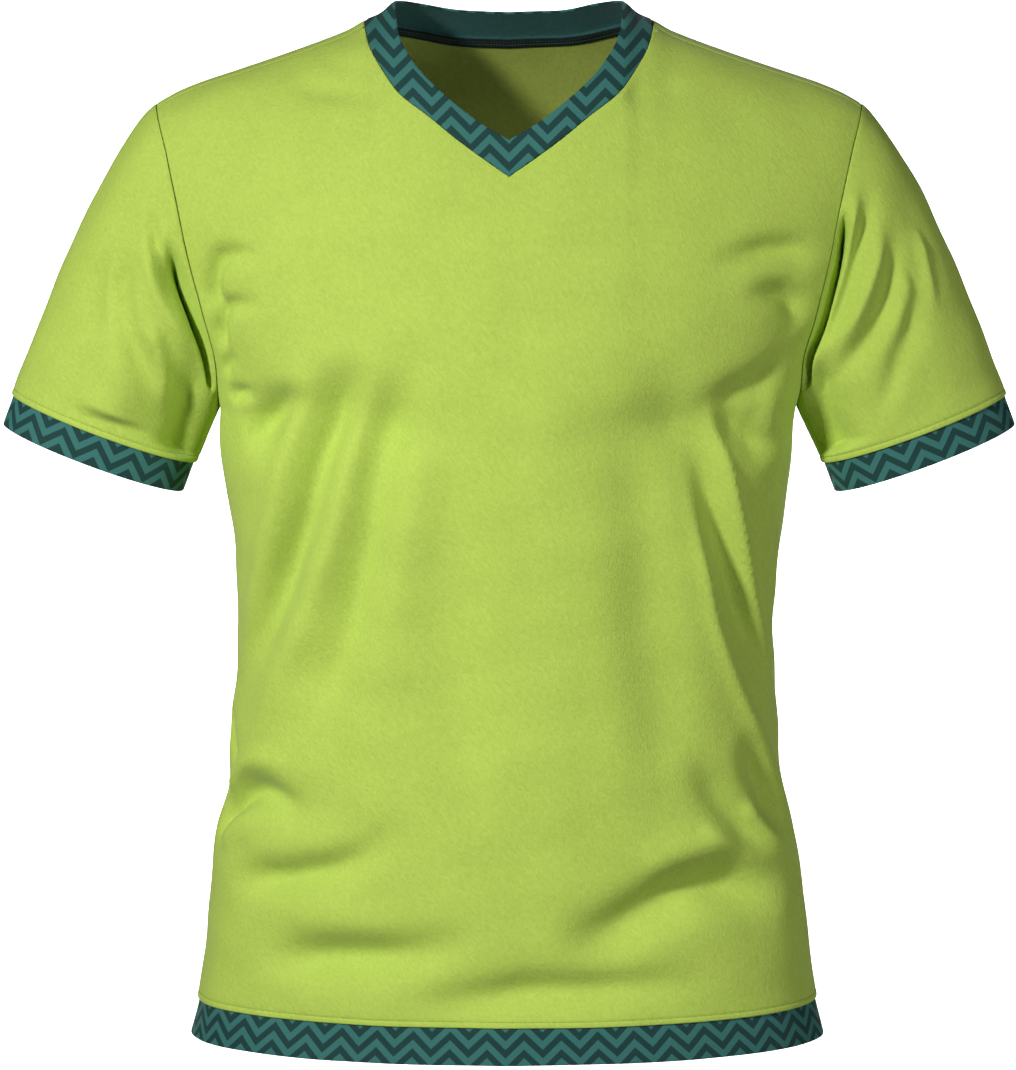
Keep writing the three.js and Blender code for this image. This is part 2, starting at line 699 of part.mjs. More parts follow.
/** Stations of half the neckband, from one centre to the neck point: seam, middle and free edge. */
function neckStations(onFront, side) {
  const table = onFront ? FRONT_NECK : BACK_NECK;
  const stations = [];
  for (let step = 0; step <= NECK_STEPS; step += 1) {
    const run = step / NECK_STEPS;
    const read = (column) => readTable(table, 'run', column, run);
    const columns = onFront ? frontColumns : backColumns;
    const column = columns.filter((one) => one.side === side || one.share === 0)
      .sort((first, second) => first.share - second.share)[step];
    const middleX = (read('seamX') + read('edgeX')) / 2;
    const middleZ = (read('seamZ') + read('edgeZ')) / 2;
    stations.push([
      panelPlace(onFront, side, column.share, column.top),
      vaultSurfacePlace(onFront, side, middleX, middleZ),
      vaultSurfacePlace(onFront, side, read('edgeX'), read('edgeZ')),
    ]);
  }
  return stations;
}

/** Neckband, one loop from the centre front round the neck. */
function makeNeckband() {
  const loop = [
    ...neckStations(true, 1),
    ...neckStations(false, 1).reverse(),
    ...neckStations(false, -1).slice(1),
    ...neckStations(true, -1).slice(1).reverse(),
  ];
  const sheet = newSheet();
  addGrid(sheet, loop[0].length, loop.length, (row, column) => loop[column][row], true);
  drawBackEdges(faceOutward(sheet), SEAM_INSET);
  return clothPiece('neckband', sheet, 0, BAND_THICKNESS, bandFinish);
}

/** Tape inside the back of the neck, just below the neckband's seam, from shoulder to shoulder. */
function makeNeckTape() {
  const middle = (backColumns.length - 1) / 2;
  const columns = backColumns.filter((column, index) => Math.abs(index - middle) < NECK_STEPS);
  const sheet = newSheet();
  addGrid(sheet, 2, columns.length, (row, index) => {
    const { side, share, top } = columns[index];
    const [rowBelow, rowAtSeam] = rowClimbs(top).slice(-2);
    const seam = panelPlace(false, side, share, rowAtSeam);
    const lower = panelPlace(false, side, share, rowBelow);
    const drop = (row === 0 ? TAPE_BOTTOM : TAPE_TOP) / seam.point.distanceTo(lower.point);
    return {
      point: seam.point.lerp(lower.point, drop),
      outward: seam.outward.lerp(lower.outward, drop),
    };
  });
  return clothPiece('neck_tape', sheet, -(CLOTH_THICKNESS + TAPE_GAP), TAPE_THICKNESS, tapeFinish);
}

const shirt = new THREE.Group();
shirt.add(makeFrontPanel());
shirt.add(makeBackPanel());
shirt.add(makeSleeve('sleeve_left', -1));
shirt.add(makeSleeve('sleeve_right', 1));
shirt.add(makeCuffBand('cuff_band_left', -1));
shirt.add(makeCuffBand('cuff_band_right', 1));
shirt.add(makeHemBand());
shirt.add(makeNeckband());
shirt.add(makeNeckTape());

export default shirt;
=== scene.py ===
"""V-neck t-shirt with contrast bands, filled out as it hangs on a wearer's shoulders.

The front faces -Y and +X is to the right as the front is looked at. The forms, folds and seams
are worked out in millimetres, and a mesh is made in metres. A place on the trunk is a turn in
degrees from the centre front, below zero to the left, and a climb: millimetres below the armpits
when it is below zero, and 0 to 1 from the armpits to the shoulder line. A place on a sleeve is
the degrees around the armhole from the armpit, up the front to the shoulder tip at 180, and the
share of the way down to the cuff.
"""
import logging
import math
from dataclasses import dataclass, field
from enum import Enum
from typing import Any, Callable, NamedTuple, Sequence

import bmesh
import bpy
import numpy as np
from mathutils import Matrix, Vector


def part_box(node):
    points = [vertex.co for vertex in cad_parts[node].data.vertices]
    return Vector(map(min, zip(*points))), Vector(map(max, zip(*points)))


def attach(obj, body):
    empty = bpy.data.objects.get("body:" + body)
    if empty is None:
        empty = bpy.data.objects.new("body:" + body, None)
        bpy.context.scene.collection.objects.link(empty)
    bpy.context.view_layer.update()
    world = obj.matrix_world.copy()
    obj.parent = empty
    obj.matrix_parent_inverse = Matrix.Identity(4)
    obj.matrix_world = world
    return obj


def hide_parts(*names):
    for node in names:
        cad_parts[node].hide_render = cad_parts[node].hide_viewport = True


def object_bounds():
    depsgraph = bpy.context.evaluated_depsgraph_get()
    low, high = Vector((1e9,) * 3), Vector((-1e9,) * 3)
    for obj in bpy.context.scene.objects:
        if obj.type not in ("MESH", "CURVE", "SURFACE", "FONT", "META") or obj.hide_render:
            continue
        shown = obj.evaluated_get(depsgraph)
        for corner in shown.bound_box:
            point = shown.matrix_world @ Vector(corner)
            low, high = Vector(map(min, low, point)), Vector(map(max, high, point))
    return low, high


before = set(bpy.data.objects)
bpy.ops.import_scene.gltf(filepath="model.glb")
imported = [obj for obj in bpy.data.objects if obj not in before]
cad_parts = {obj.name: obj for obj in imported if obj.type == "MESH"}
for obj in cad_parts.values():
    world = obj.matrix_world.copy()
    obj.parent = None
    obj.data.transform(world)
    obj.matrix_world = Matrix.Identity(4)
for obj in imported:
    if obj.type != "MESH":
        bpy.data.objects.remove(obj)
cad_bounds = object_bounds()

log = logging.getLogger("shirt")

Array = np.ndarray
Colour = tuple[float, float, float]

MM = 0.001
QUARTER = 90.0
HALF = 180.0
FULL = 360.0
TINY = 1e-9
HUNDREDTHS = 100.0
MERGED_WITHIN = 1e-6
ROUND_EDGE = (30, 60, 90, 120, 150)

# How far the stitches lie above a folded edge, and how far they sink into the cloth.
STITCH_LINE = 4.2
STITCH_SUNK = 0.3


# ---------------------------------------------------------------- named sizes of the forms


class Ring(NamedTuple):
    """One level ring of the trunk, and how square its corners are."""

    z: float
    left: float
    right: float
    front: float
    back: float
    square: float


class Shoulder(NamedTuple):
    """Height of the shoulder line at a distance out from the middle of the neck."""

    x: float
    z: float


class Reach(NamedTuple):
    """How far out the armhole's seam lies, by the share of the height from armpit to shoulder."""

    rise: float
    x: float


class Neck(NamedTuple):
    """Where the neckband's seam and its free edge pass, from the centre to the neck point."""

    run: float
    seam_x: float
    seam_z: float
    edge_x: float
    edge_z: float


class Fold(NamedTuple):
    """One fold or hollow of the cloth.

    Depth is how far it lifts the cloth, below zero for a hollow, and width is half the way across
    it. The spine runs through pairs of distance around and height, both in millimetres. Rise and
    fall are the shares of its length over which it swells at its start and dies away at its end,
    and a crest above 2 is rounder than below.
    """

    depth: float
    width: float
    spine: Sequence[tuple[float, float]]
    rise: float = 0.25
    fall: float = 0.4
    crest: float = 2.0


RINGS = (
    Ring(-265, 198.5, 198.5, 122, 112, 2.3),
    Ring(-300, 198.0, 194.5, 122, 111, 2.3),
    Ring(-335, 192.5, 190.0, 121, 108, 2.3),
    Ring(-405, 187.0, 183.5, 118, 104, 2.25),
    Ring(-440, 188.0, 183.5, 117, 103, 2.2),
    Ring(-503, 193.5, 187.0, 115, 104, 2.15),
    Ring(-530, 194.5, 190.0, 114, 106, 2.1),
    Ring(-559, 202.5, 198.0, 113, 108, 2.1),
    Ring(-615, 209.0, 205.5, 111, 110, 2.05),
    Ring(-670, 216.0, 213.5, 110, 110, 2.05),
    Ring(-706, 223.5, 220.5, 111, 111, 2.05),
)
SHOULDER_LINE = (
    Shoulder(0, 21),
    Shoulder(45, 19.5),
    Shoulder(77.4, 13),
    Shoulder(88, 4.6),
    Shoulder(98.7, 0),
    Shoulder(111, -7),
    Shoulder(148, -21),
    Shoulder(189, -35),
    Shoulder(210, -42),
    Shoulder(227, -49),
    Shoulder(241, -57),
)
ARMHOLE_REACH = (
    Reach(0, 198.5),
    Reach(0.15, 200),
    Reach(0.3, 208.5),
    Reach(0.5, 218.5),
    Reach(0.75, 229),
    Reach(1, 241),
)
FRONT_NECK = (
    Neck(0, 0, -96.1, 0, -71.9),
    Neck(0.27, 33.8, -72.9, 20.5, -60.3),
    Neck(0.44, 54.5, -56.8, 41, -45.1),
    Neck(0.6, 75.2, -41.4, 58.5, -29.2),
    Neck(0.75, 89, -23.5, 69.5, -15),
    Neck(0.84, 94.5, -14, 74.8, -5),
    Neck(1, 98.5, -1.6, 77.4, 10),
)
BACK_NECK = (
    Neck(0, 0, -17.1, 0, 2.9),
    Neck(0.38, 40, -14.8, 34, 4.6),
    Neck(0.7, 73, -8, 60, 9.3),
    Neck(0.88, 90, -3, 72, 12),
    Neck(1, 97.2, 0, 77.4, 13),
)

# Folds of the trunk: distance around from the centre front, and height.
FRONT_FOLDS = (
    # left of the chest, fanning from the armhole
    Fold(-9, 6.5, ((-196, -200), (-190, -184), (-180, -165), (-165, -153), (-132, -149)), 0.25, 0.5),
    Fold(-7.5, 5.5, ((-203, -226), (-198, -209), (-189, -196), (-176, -187), (-146, -183)), 0.25, 0.55),
    Fold(-4, 4.5, ((-212, -240), (-203, -228), (-188, -222)), 0.3, 0.5),
    Fold(-5.5, 5, ((-212, -254), (-200, -249), (-182, -247)), 0.2, 0.5),
    Fold(-10.5, 11, ((-204, -276), (-182, -268), (-166, -257), (-150, -249), (-128, -246)), 0.25, 0.45),
    # from under the left of the chest to the hip
    Fold(7, 12, ((-136, -218), (-148, -255), (-160, -300), (-177, -340), (-197, -380), (-214, -412),
                 (-234, -448)), 0.25, 0.4),
    Fold(-13, 14, ((-92, -214), (-112, -238), (-131, -280), (-146, -322), (-164, -358),
                   (-187, -400), (-209, -440), (-230, -480)), 0.16, 0.45),
    Fold(7, 12, ((-94, -228), (-107, -270), (-116, -312), (-133, -355), (-153, -398),
                 (-175, -440), (-195, -482), (-218, -525)), 0.2, 0.4),
    Fold(-11, 15, ((-50, -210), (-72, -240), (-88, -290), (-96, -325), (-108, -362), (-121, -402),
                   (-137, -442), (-152, -482), (-162, -520)), 0.2, 0.45),
    Fold(5, 22, ((-62, -262), (-72, -320), (-82, -380), (-94, -440), (-110, -500)), 0.3, 0.4),
    # right of the chest
    Fold(-8, 9, ((112, -154), (134, -150), (152, -148), (168, -151), (188, -166)), 0.45, 0.45),
    Fold(-8, 7.5, ((138, -174), (158, -176), (173, -181), (186, -191), (198, -208)), 0.45, 0.4),
    Fold(-8, 13, ((120, -262), (148, -250), (176, -239), (204, -230)), 0.5, 0.3),
    Fold(-9, 11, ((146, -250), (158, -264), (171, -274), (189, -283), (214, -288)), 0.35, 0.4),
    # from under the right of the chest to the hip
    Fold(5.5, 6, ((124, -284), (134, -322), (141, -345), (150, -372), (160, -402), (172, -430),
                  (186, -458), (200, -482), (214, -505), (230, -525), (252, -558)), 0.3, 0.2, 1.5),
    Fold(-8.5, 20, ((84, -216), (110, -250), (129, -285), (142, -310), (155, -337), (169, -364),
                    (183, -394), (196, -420), (210, -446), (228, -474)), 0.22, 0.35),
    Fold(-5.5, 9, ((124, -262), (137, -285), (148, -310), (161, -337), (174, -364), (188, -394),
                   (200, -420), (214, -446)), 0.3, 0.35),
    Fold(8, 5, ((136, -240), (149, -272), (159, -297), (171, -327), (184, -357), (198, -388),
                (211, -415), (223, -440), (238, -464)), 0.35, 0.3, 1.5),
    Fold(-3, 6, ((226, -300), (218, -314), (212, -330))),
    Fold(-3, 6, ((238, -350), (228, -375), (222, -402))),
    Fold(-9, 28, ((84, -236), (92, -306), (101, -351), (108, -403), (120, -453), (122, -550)), 0.25, 0.4),
    # the chest's overhang
    Fold(-5.5, 22, ((-200, -262), (-150, -266), (-100, -264), (-30, -258)), 0.1, 0.45),
    Fold(-5.5, 22, ((20, -258), (90, -264), (140, -268), (196, -264)), 0.45, 0.1),
    Fold(-4, 26, ((-46, -320), (-44, -400), (-38, -480), (-44, -570)), 0.35, 0.35),
    # waist and hips, left
    Fold(-6, 8, ((-262, -476), (-244, -496), (-222, -516))),
    Fold(-5, 7, ((-268, -524), (-252, -528), (-236, -534))),
    Fold(5, 8, ((-238, -538), (-220, -516), (-200, -505), (-180, -503), (-156, -509)), 0.2, 0.4),
    Fold(-11, 9, ((-244, -566), (-229, -545), (-212, -532), (-192, -526), (-172, -529), (-146, -540)),
         0.2, 0.4),
    Fold(3.5, 12, ((-228, -568), (-204, -552), (-180, -549))),
    Fold(-13, 12, ((-210, -595), (-182, -586), (-162, -583), (-142, -578), (-122, -572), (-104, -561),
                   (-80, -536)), 0.3, 0.5),
    Fold(3, 14, ((-160, -612), (-112, -608), (-68, -604))),
    Fold(-13, 14, ((-186, -646), (-146, -638), (-116, -634), (-86, -632), (-60, -627), (-18, -612)),
         0.35, 0.5),
    # waist and hips, right
    Fold(-11, 13, ((-84, -668), (-20, -660), (20, -656), (60, -655), (100, -653), (152, -654)),
         0.4, 0.4),
    Fold(-7, 13, ((132, -490), (156, -518), (172, -540), (187, -557), (204, -573)), 0.4, 0.35),
    Fold(4.5, 6, ((182, -530), (194, -548), (208, -562), (226, -575)), 0.2, 0.4, 1.6),
    Fold(-7, 13, ((180, -482), (202, -516), (215, -540), (230, -560)), 0.4, 0.4),
    Fold(3.5, 7, ((138, -544), (160, -557), (180, -569), (202, -582))),
    Fold(4, 12, ((92, -577), (116, -565), (146, -559), (176, -566))),
    Fold(-16, 17, ((30, -626), (74, -615), (99, -603), (118, -594), (138, -588), (160, -588),
                   (181, -595), (210, -610)), 0.35, 0.35),
    # soft creases beside the neck
    Fold(-2.5, 7, ((-92, -25), (-78, -27), (-62, -32))),
    Fold(-3.5, 8, ((-108, -40), (-82, -42), (-54, -45))),
    Fold(-2.5, 7, ((55, -45), (72, -42), (90, -39))),
)
BACK_FOLDS = (
    # fanning from the armpits
    Fold(-10, 13, ((322, -214), (344, -262), (368, -312), (396, -360), (430, -404), (466, -440)), 0.3, 0.5),
    Fold(5, 10, ((350, -216), (374, -266), (402, -314), (434, -358), (468, -392))),
    Fold(-7, 9, ((288, -250), (304, -284), (322, -328), (344, -378), (370, -426)), 0.3, 0.5),
    Fold(7, 8, ((-330, -232), (-350, -278), (-374, -330), (-402, -384), (-436, -436)), 0.2, 0.5, 1.5),
    Fold(-10, 12, ((-310, -240), (-328, -286), (-350, -338), (-378, -392), (-410, -442)), 0.25, 0.5),
    Fold(-5.5, 15, ((-366, -224), (-392, -276), (-424, -330), (-460, -376))),
    Fold(-6, 9, ((314, -206), (338, -190), (372, -184), (410, -186)), 0.2, 0.6),
    Fold(-6, 8, ((-310, -200), (-334, -184), (-368, -178), (-402, -182)), 0.2, 0.6),
    Fold(-7, 10, ((280, -292), (306, -300), (338, -304), (372, -302)), 0.3, 0.5),
    # across the shoulder blades
    Fold(-4, 26, ((430, -150), (470, -162), (510, -166), (550, -162), (590, -150))),
    Fold(-3.5, 14, ((-500, -214), (-470, -232), (-444, -262))),
    Fold(-3.5, 14, ((478, -226), (462, -262), (452, -306))),
    # small of the back and hips
    Fold(-10, 17, ((-430, -446), (-485, -456), (-530, -452), (-585, -436))),
    Fold(-8.5, 15, ((404, -522), (450, -506), (500, -504), (552, -518))),
    Fold(4, 12, ((-440, -478), (-490, -484), (-540, -476))),
    Fold(-7, 11, ((-300, -506), (-332, -522), (-372, -526), (-404, -514))),
    Fold(-8.5, 10, ((286, -546), (318, -566), (356, -572), (392, -560))),
    Fold(-7, 12, ((-300, -596), (-350, -588), (-392, -596), (-430, -612))),
    Fold(-7, 13, ((400, -620), (452, -632), (500, -636), (548, -630))),
    Fold(-5.5, 10, ((300, -634), (336, -624), (372, -628))),
    Fold(-4, 8, ((272, -470), (292, -490), (318, -500))),
    Fold(-4, 7, ((-266, -420), (-288, -438), (-312, -444))),
)

# Folds of the sleeves: degrees around the armhole, and hundredths of the way down to the cuff.
LEFT_SLEEVE_FOLDS = (
    Fold(-26, 8.5, ((106, 19), (95, 17), (85, 14), (74, 11), (62, 8.5), (48, 7), (30, 6)), 0.3, 0.15),
    Fold(-5, 6, ((122, 20), (110, 22), (99, 24), (88, 24), (76, 22)), 0.3, 0.4),
    Fold(4.5, 7, ((118, 27), (102, 30), (88, 31), (72, 29), (56, 25))),
    Fold(-7, 9, ((126, 38), (113, 46), (98, 54), (86, 58), (70, 63)), 0.25, 0.4),
    Fold(-4, 9, ((138, 46), (124, 58), (112, 70))),
    Fold(4, 8, ((94, 42), (80, 47), (68, 57), (62, 74))),
    Fold(-14, 28, ((66, 10), (50, 30), (38, 58), (32, 98)), 0.5, 0.1),
    Fold(8, 22, ((108, 30), (96, 56), (90, 92)), 0.4, 0.1),
    Fold(-6, 8, ((322, 20), (296, 22), (268, 32), (244, 52))),
    Fold(-8, 9, ((332, 38), (312, 46), (292, 62), (276, 80))),
    Fold(4.5, 7, ((318, 30), (296, 38), (272, 54))),
    Fold(-4, 8, ((232, 26), (222, 44), (218, 62))),
)
RIGHT_SLEEVE_FOLDS = (
    Fold(-27, 8.5, ((112, 5), (98, 6.5), (86, 6.5), (76, 6), (62, 5.5), (46, 5), (30, 5)), 0.25, 0.15),
    Fold(5, 6, ((122, 12), (106, 13), (94, 13), (82, 12), (68, 11)), 0.25, 0.4, 1.6),
    Fold(-7, 8, ((134, 18), (112, 21.5), (97, 22.5), (84, 22), (70, 20), (56, 17)), 0.35, 0.3),
    Fold(5, 7, ((124, 31), (108, 34), (96, 35), (82, 35), (66, 31)), 0.25, 0.4, 1.6),
    Fold(-6.5, 8, ((138, 33), (114, 43), (98, 47.5), (84, 48), (70, 44), (56, 38)), 0.4, 0.35),
    Fold(4, 7, ((126, 48), (109, 55), (94, 58))),
    Fold(-5, 8, ((136, 48), (114, 59), (97, 66), (82, 74), (68, 82)), 0.4, 0.45),
    Fold(3.5, 5, ((146, 41), (137, 52), (128, 65)), 0.3, 0.4, 1.6),
    Fold(-12, 25, ((60, 18), (44, 36), (36, 60), (32, 90)), 0.3, 0.1),
    Fold(-7, 8, ((328, 22), (304, 26), (278, 40), (258, 60))),
    Fold(-7, 9, ((336, 44), (316, 54), (298, 74))),
    Fold(4.5, 7, ((320, 34), (298, 44), (280, 60))),
    Fold(-4, 9, ((240, 20), (230, 38), (228, 58))),
)


# ---------------------------------------------------------------- reading the forms


def read(rows: Sequence[NamedTuple], key: str, column: str, at: Array) -> Array:
    """Read one column of a table on a smooth curve through its rows.

    Args:
        rows: The table, in rising or falling order of its key.
        key: Name of the column that places the rows.
        column: Name of the column that is read.
        at: Places along the key.

    Returns:
        The column's value at each place.
    """
    keys = np.array([getattr(row, key) for row in rows], float)
    values = np.array([getattr(row, column) for row in rows], float)
    if keys[-1] < keys[0]:
        keys, values = keys[::-1], values[::-1]
    slopes = np.empty_like(keys)
    slopes[1:-1] = (values[2:] - values[:-2]) / (keys[2:] - keys[:-2])
    slopes[0] = (values[1] - values[0]) / (keys[1] - keys[0])
    slopes[-1] = (values[-1] - values[-2]) / (keys[-1] - keys[-2])
    row = np.clip(np.searchsorted(keys, at) - 1, 0, len(keys) - 2)
    span = keys[row + 1] - keys[row]
    start, leave, end, arrive = curve_weights(np.clip((at - keys[row]) / span, 0, 1))
    return (start * values[row] + leave * span * slopes[row]
            + end * values[row + 1] + arrive * span * slopes[row + 1])


def curve_weights(share: Array) -> tuple[Array, Array, Array, Array]:
    """Weights that join two places by a smooth curve.

    Args:
        share: Share of the way from the first to the second.

    Returns:
        Weights of the first place, the slope there, the second place and the slope there.
    """
    square, cube = share**2, share**3
    return 2 * cube - 3 * square + 1, cube - 2 * square + share, 3 * square - 2 * cube, cube - square


def unit(vectors: Array) -> Array:
    """Vectors of the same direction and a length of one."""
    return vectors / np.maximum(np.linalg.norm(vectors, axis=-1, keepdims=True), TINY)


def ease(value: Array, start: float, end: float) -> Array:
    """Smooth step from 0 at start to 1 at end."""
    share = np.clip((value - start) / (end - start), 0, 1)
    return share * share * (3 - 2 * share)


def steps(start: float, end: float, spacing: float) -> Array:
    """Even places from start to end, both among them, about spacing apart."""
    return np.linspace(start, end, max(int(round(abs(end - start) / spacing)), 1) + 1)


def lean_of(climb: Array) -> Array:
    """Lean of the vault at a climb, from none at the armpits to level at the shoulder line."""
    return np.radians(QUARTER * np.clip(np.where(climb > 1, 2 - climb, climb), 0, 1))


def along_rows(points: Array) -> Array:
    """Distance travelled along each row of a grid of points, from its first column."""
    lengths = np.linalg.norm(np.diff(points, axis=1), axis=-1)
    return np.concatenate([np.zeros((len(points), 1)), np.cumsum(lengths, axis=1)], axis=1)


@dataclass(frozen=True)
class Creasing:
    """Folds laid on a form, and the faint unevenness of cloth between them.

    Reach is how many widths from its spine a fold is still felt. The unevenness is a sum of waves,
    whose numbers vary about that of the ripple's length.
    """

    folds: Sequence[Fold]
    ripple_height: float = 0.55
    ripple_length: float = 62.0
    ripple_waves: int = 28
    ripple_range: tuple[float, float] = (0.6, 1.7)
    seed: int = 7
    spine_samples: int = 7
    reach: float = 3.0

    def spine(self, fold: Fold) -> Array:
        """Points close together on a smooth curve through a fold's spine.

        Args:
            fold: The fold.

        Returns:
            Pairs of distance around and height.
        """
        knots = np.array(fold.spine, float)
        padded = np.vstack([2 * knots[0] - knots[1], knots, 2 * knots[-1] - knots[-2]])
        share = np.linspace(0, 1, self.spine_samples, endpoint=False)[:, None]
        runs = [
            0.5 * (2 * b + (c - a) * share + (2 * a - 5 * b + 4 * c - d) * share**2
                   + (3 * b - a - 3 * c + d) * share**3)
            for a, b, c, d in zip(padded, padded[1:], padded[2:], padded[3:])
        ]
        return np.vstack([*runs, knots[-1:]])

    def fold_lift(self, fold: Fold, places: Array) -> Array:
        """How far one fold lifts the cloth.

        Args:
            fold: The fold.
            places: Pairs of distance around and height, one a row.

        Returns:
            Lift at each place, below zero in a hollow.
        """
        spine = self.spine(fold)
        reach = self.reach * fold.width
        near = np.all((places > spine.min(0) - reach) & (places < spine.max(0) + reach), axis=1)
        lift = np.zeros(len(places))
        if not near.any():
            return lift
        starts, runs = spine[:-1], np.diff(spine, axis=0)
        lengths = np.linalg.norm(runs, axis=1)
        offset = places[near][:, None, :] - starts
        share = np.clip((offset * runs).sum(-1) / lengths**2, 0, 1)
        away = np.linalg.norm(offset - share[..., None] * runs, axis=-1)
        closest = away.argmin(axis=1)
        every = np.arange(len(closest))
        travelled = np.concatenate([[0], np.cumsum(lengths)])
        way = (travelled[closest] + share[every, closest] * lengths[closest]) / travelled[-1]
        swell = ease(way, 0, fold.rise) * ease(1 - way, 0, fold.fall)
        lift[near] = fold.depth * swell * np.exp(-((away[every, closest] / fold.width) ** fold.crest))
        return lift

    def lift(self, around: Array, height: Array, points: Array) -> Array:
        """How far the cloth is lifted off its smooth form.

        Args:
            around: Distance around the form.
            height: Height, or distance down a sleeve.
            points: The same places on the smooth form, in millimetres.

        Returns:
            Lift at each place.
        """
        places = np.stack([np.ravel(around), np.ravel(height)], axis=-1)
        lift = sum((self.fold_lift(fold, places) for fold in self.folds), np.zeros(len(places)))
        draw = np.random.RandomState(self.seed)
        ways = unit(draw.normal(size=(self.ripple_waves, 3)))
        lengths = self.ripple_length * draw.uniform(*self.ripple_range, self.ripple_waves)
        numbers = 2 * math.pi / lengths
        phases = draw.uniform(0, 2 * math.pi, self.ripple_waves)
        waves = np.sin(np.reshape(points, (-1, 3)) @ (ways * numbers[:, None]).T + phases)
        ripple = waves.sum(axis=1) * self.ripple_height * math.sqrt(2 / self.ripple_waves)
        return np.reshape(lift + ripple, np.shape(around))


@dataclass
class Trunk:
    """The form of the trunk: rings below the armpits, and a vault above them.

    The folds die away from one climb to the other of calm_from and calm_at, at the shoulders.
    """

    armpit: float = -265.0
    vault_square: float = 2.3
    armhole_depth: float = 0.885
    calm_from: float = 0.78
    calm_at: float = 0.92
    turn_probe: float = 0.4
    climb_probe: float = 0.004
    height_probe: float = 1.0
    creasing: Creasing = field(default_factory=lambda: Creasing(FRONT_FOLDS + BACK_FOLDS))

    def __post_init__(self) -> None:
        """Measure the way round the chest by the turn."""
        self.turns = np.arange(HALF + 1)
        self.girths = along_rows(self.smooth(self.turns, np.zeros_like(self.turns))[None])[0]

    def shoulder_height(self, x: Array) -> Array:
        """Height of the shoulder line at a distance out from the middle."""
        return read(SHOULDER_LINE, "x", "z", np.abs(x))

    def depth_share(self, rise: Array) -> Array:
        """Share of the trunk's depth at which the armhole's seam lies."""
        return self.armhole_depth * np.sqrt(rise / (1 + rise))

    def vault_half_width(self, rise: Array) -> Array:
        """Half-width that the vault would have with no armhole cut from it."""
        cut = 1 - self.depth_share(rise) ** self.vault_square
        return read(ARMHOLE_REACH, "rise", "x", rise) / cut ** (1 / self.vault_square)

    def armhole_turn(self, rise: Array) -> Array:
        """Turn from the centre at which the armhole cuts the vault."""
        return np.degrees(np.arccos(self.depth_share(rise) ** (self.vault_square / 2)))

    def smooth(self, turn: Array, climb: Array) -> Array:
        """Point on the form before its folds.

        Args:
            turn: Degrees from the centre front.
            climb: Climb, above 1 for places beyond the shoulder line.

        Returns:
            Points, in millimetres.
        """
        turn, climb = np.broadcast_arrays(np.asarray(turn, float), np.asarray(climb, float))
        side = np.where(turn < 0, -1.0, 1.0)
        turned = np.abs(turn)
        handed = np.where(turned > HALF, -side, side)
        folded = np.where(turned > HALF, FULL - turned, turned)
        front = (folded <= QUARTER) != (climb > 1)
        angle = np.radians(np.where(folded <= QUARTER, folded, HALF - folded))
        sine, cosine = np.maximum(np.sin(angle), 0), np.maximum(np.cos(angle), 0)
        forward = np.where(front, -1.0, 1.0)
        z = self.armpit + np.minimum(climb, 0)
        half = np.where(handed < 0, read(RINGS, "z", "left", z), read(RINGS, "z", "right", z))
        depth = np.where(front, read(RINGS, "z", "front", z), read(RINGS, "z", "back", z))
        power = 2 / read(RINGS, "z", "square", z)
        tube = np.stack([handed * half * sine**power, forward * depth * cosine**power, z], -1)
        lean = lean_of(climb)
        rise, power = np.sin(lean), 2 / self.vault_square
        x = self.vault_half_width(rise) * sine**power
        up = self.armpit + (self.shoulder_height(x) - self.armpit) * rise
        vault = np.stack([handed * x, forward * depth * cosine**power * np.cos(lean), up], -1)
        return np.where((climb <= 0)[..., None], tube, vault)

    def outward(self, form: Callable[[Array, Array], Array], turn: Array, climb: Array) -> Array:
        """Direction out of the trunk.

        Args:
            form: Either smooth or point, the form whose direction is wanted.
            turn: Degrees from the centre front.
            climb: Climb.

        Returns:
            Unit vectors.
        """
        step = np.where(climb < 0, self.height_probe, self.climb_probe)
        across = form(turn + self.turn_probe, climb) - form(turn - self.turn_probe, climb)
        along = form(turn, climb + step) - form(turn, climb - step)
        return unit(np.cross(across, along))

    def girth(self, turn: Array) -> Array:
        """Way round the chest from the centre front to a turn."""
        return np.sign(turn) * np.interp(np.abs(turn), self.turns, self.girths)

    def point(self, turn: Array, climb: Array) -> Array:
        """Point on the trunk with its folds.

        Args:
            turn: Degrees from the centre front.
            climb: Climb.

        Returns:
            Points, in millimetres.
        """
        turn, climb = np.broadcast_arrays(np.asarray(turn, float), np.asarray(climb, float))
        base = self.smooth(turn, climb)
        girth, whole = self.girth(turn), 2 * self.girths[-1]
        calm = 1 - ease(np.minimum(climb, 2 - climb), self.calm_from, self.calm_at)
        lift = self.creasing.lift(girth, base[..., 2], base)
        for other in (girth + whole, girth - whole):
            places = np.stack([np.ravel(other), np.ravel(base[..., 2])], axis=-1)
            for fold in self.creasing.folds:
                lift += np.reshape(self.creasing.fold_lift(fold, places), lift.shape)
        return base + self.outward(self.smooth, turn, climb) * (lift * calm)[..., None]

    def place(self, x: Array, z: Array) -> tuple[Array, Array]:
        """Turn and climb of a place on the front of the vault, by where it is seen.

        Args:
            x: Distance to the right of the middle.
            z: Height.

        Returns:
            The turn, below zero to the left, and the climb.
        """
        rise = np.minimum((z - self.armpit) / (self.shoulder_height(x) - self.armpit), 1)
        angle = np.arcsin((x / self.vault_half_width(rise)) ** (self.vault_square / 2))
        return np.degrees(angle), np.degrees(np.arcsin(rise)) / QUARTER

    def column_turn(self, share: Array, climb: Array) -> Array:
        """Turn of a column of the trunk, which keeps its share of the way to the armhole."""
        return share * np.where(climb <= 0, QUARTER, self.armhole_turn(np.sin(lean_of(climb))))

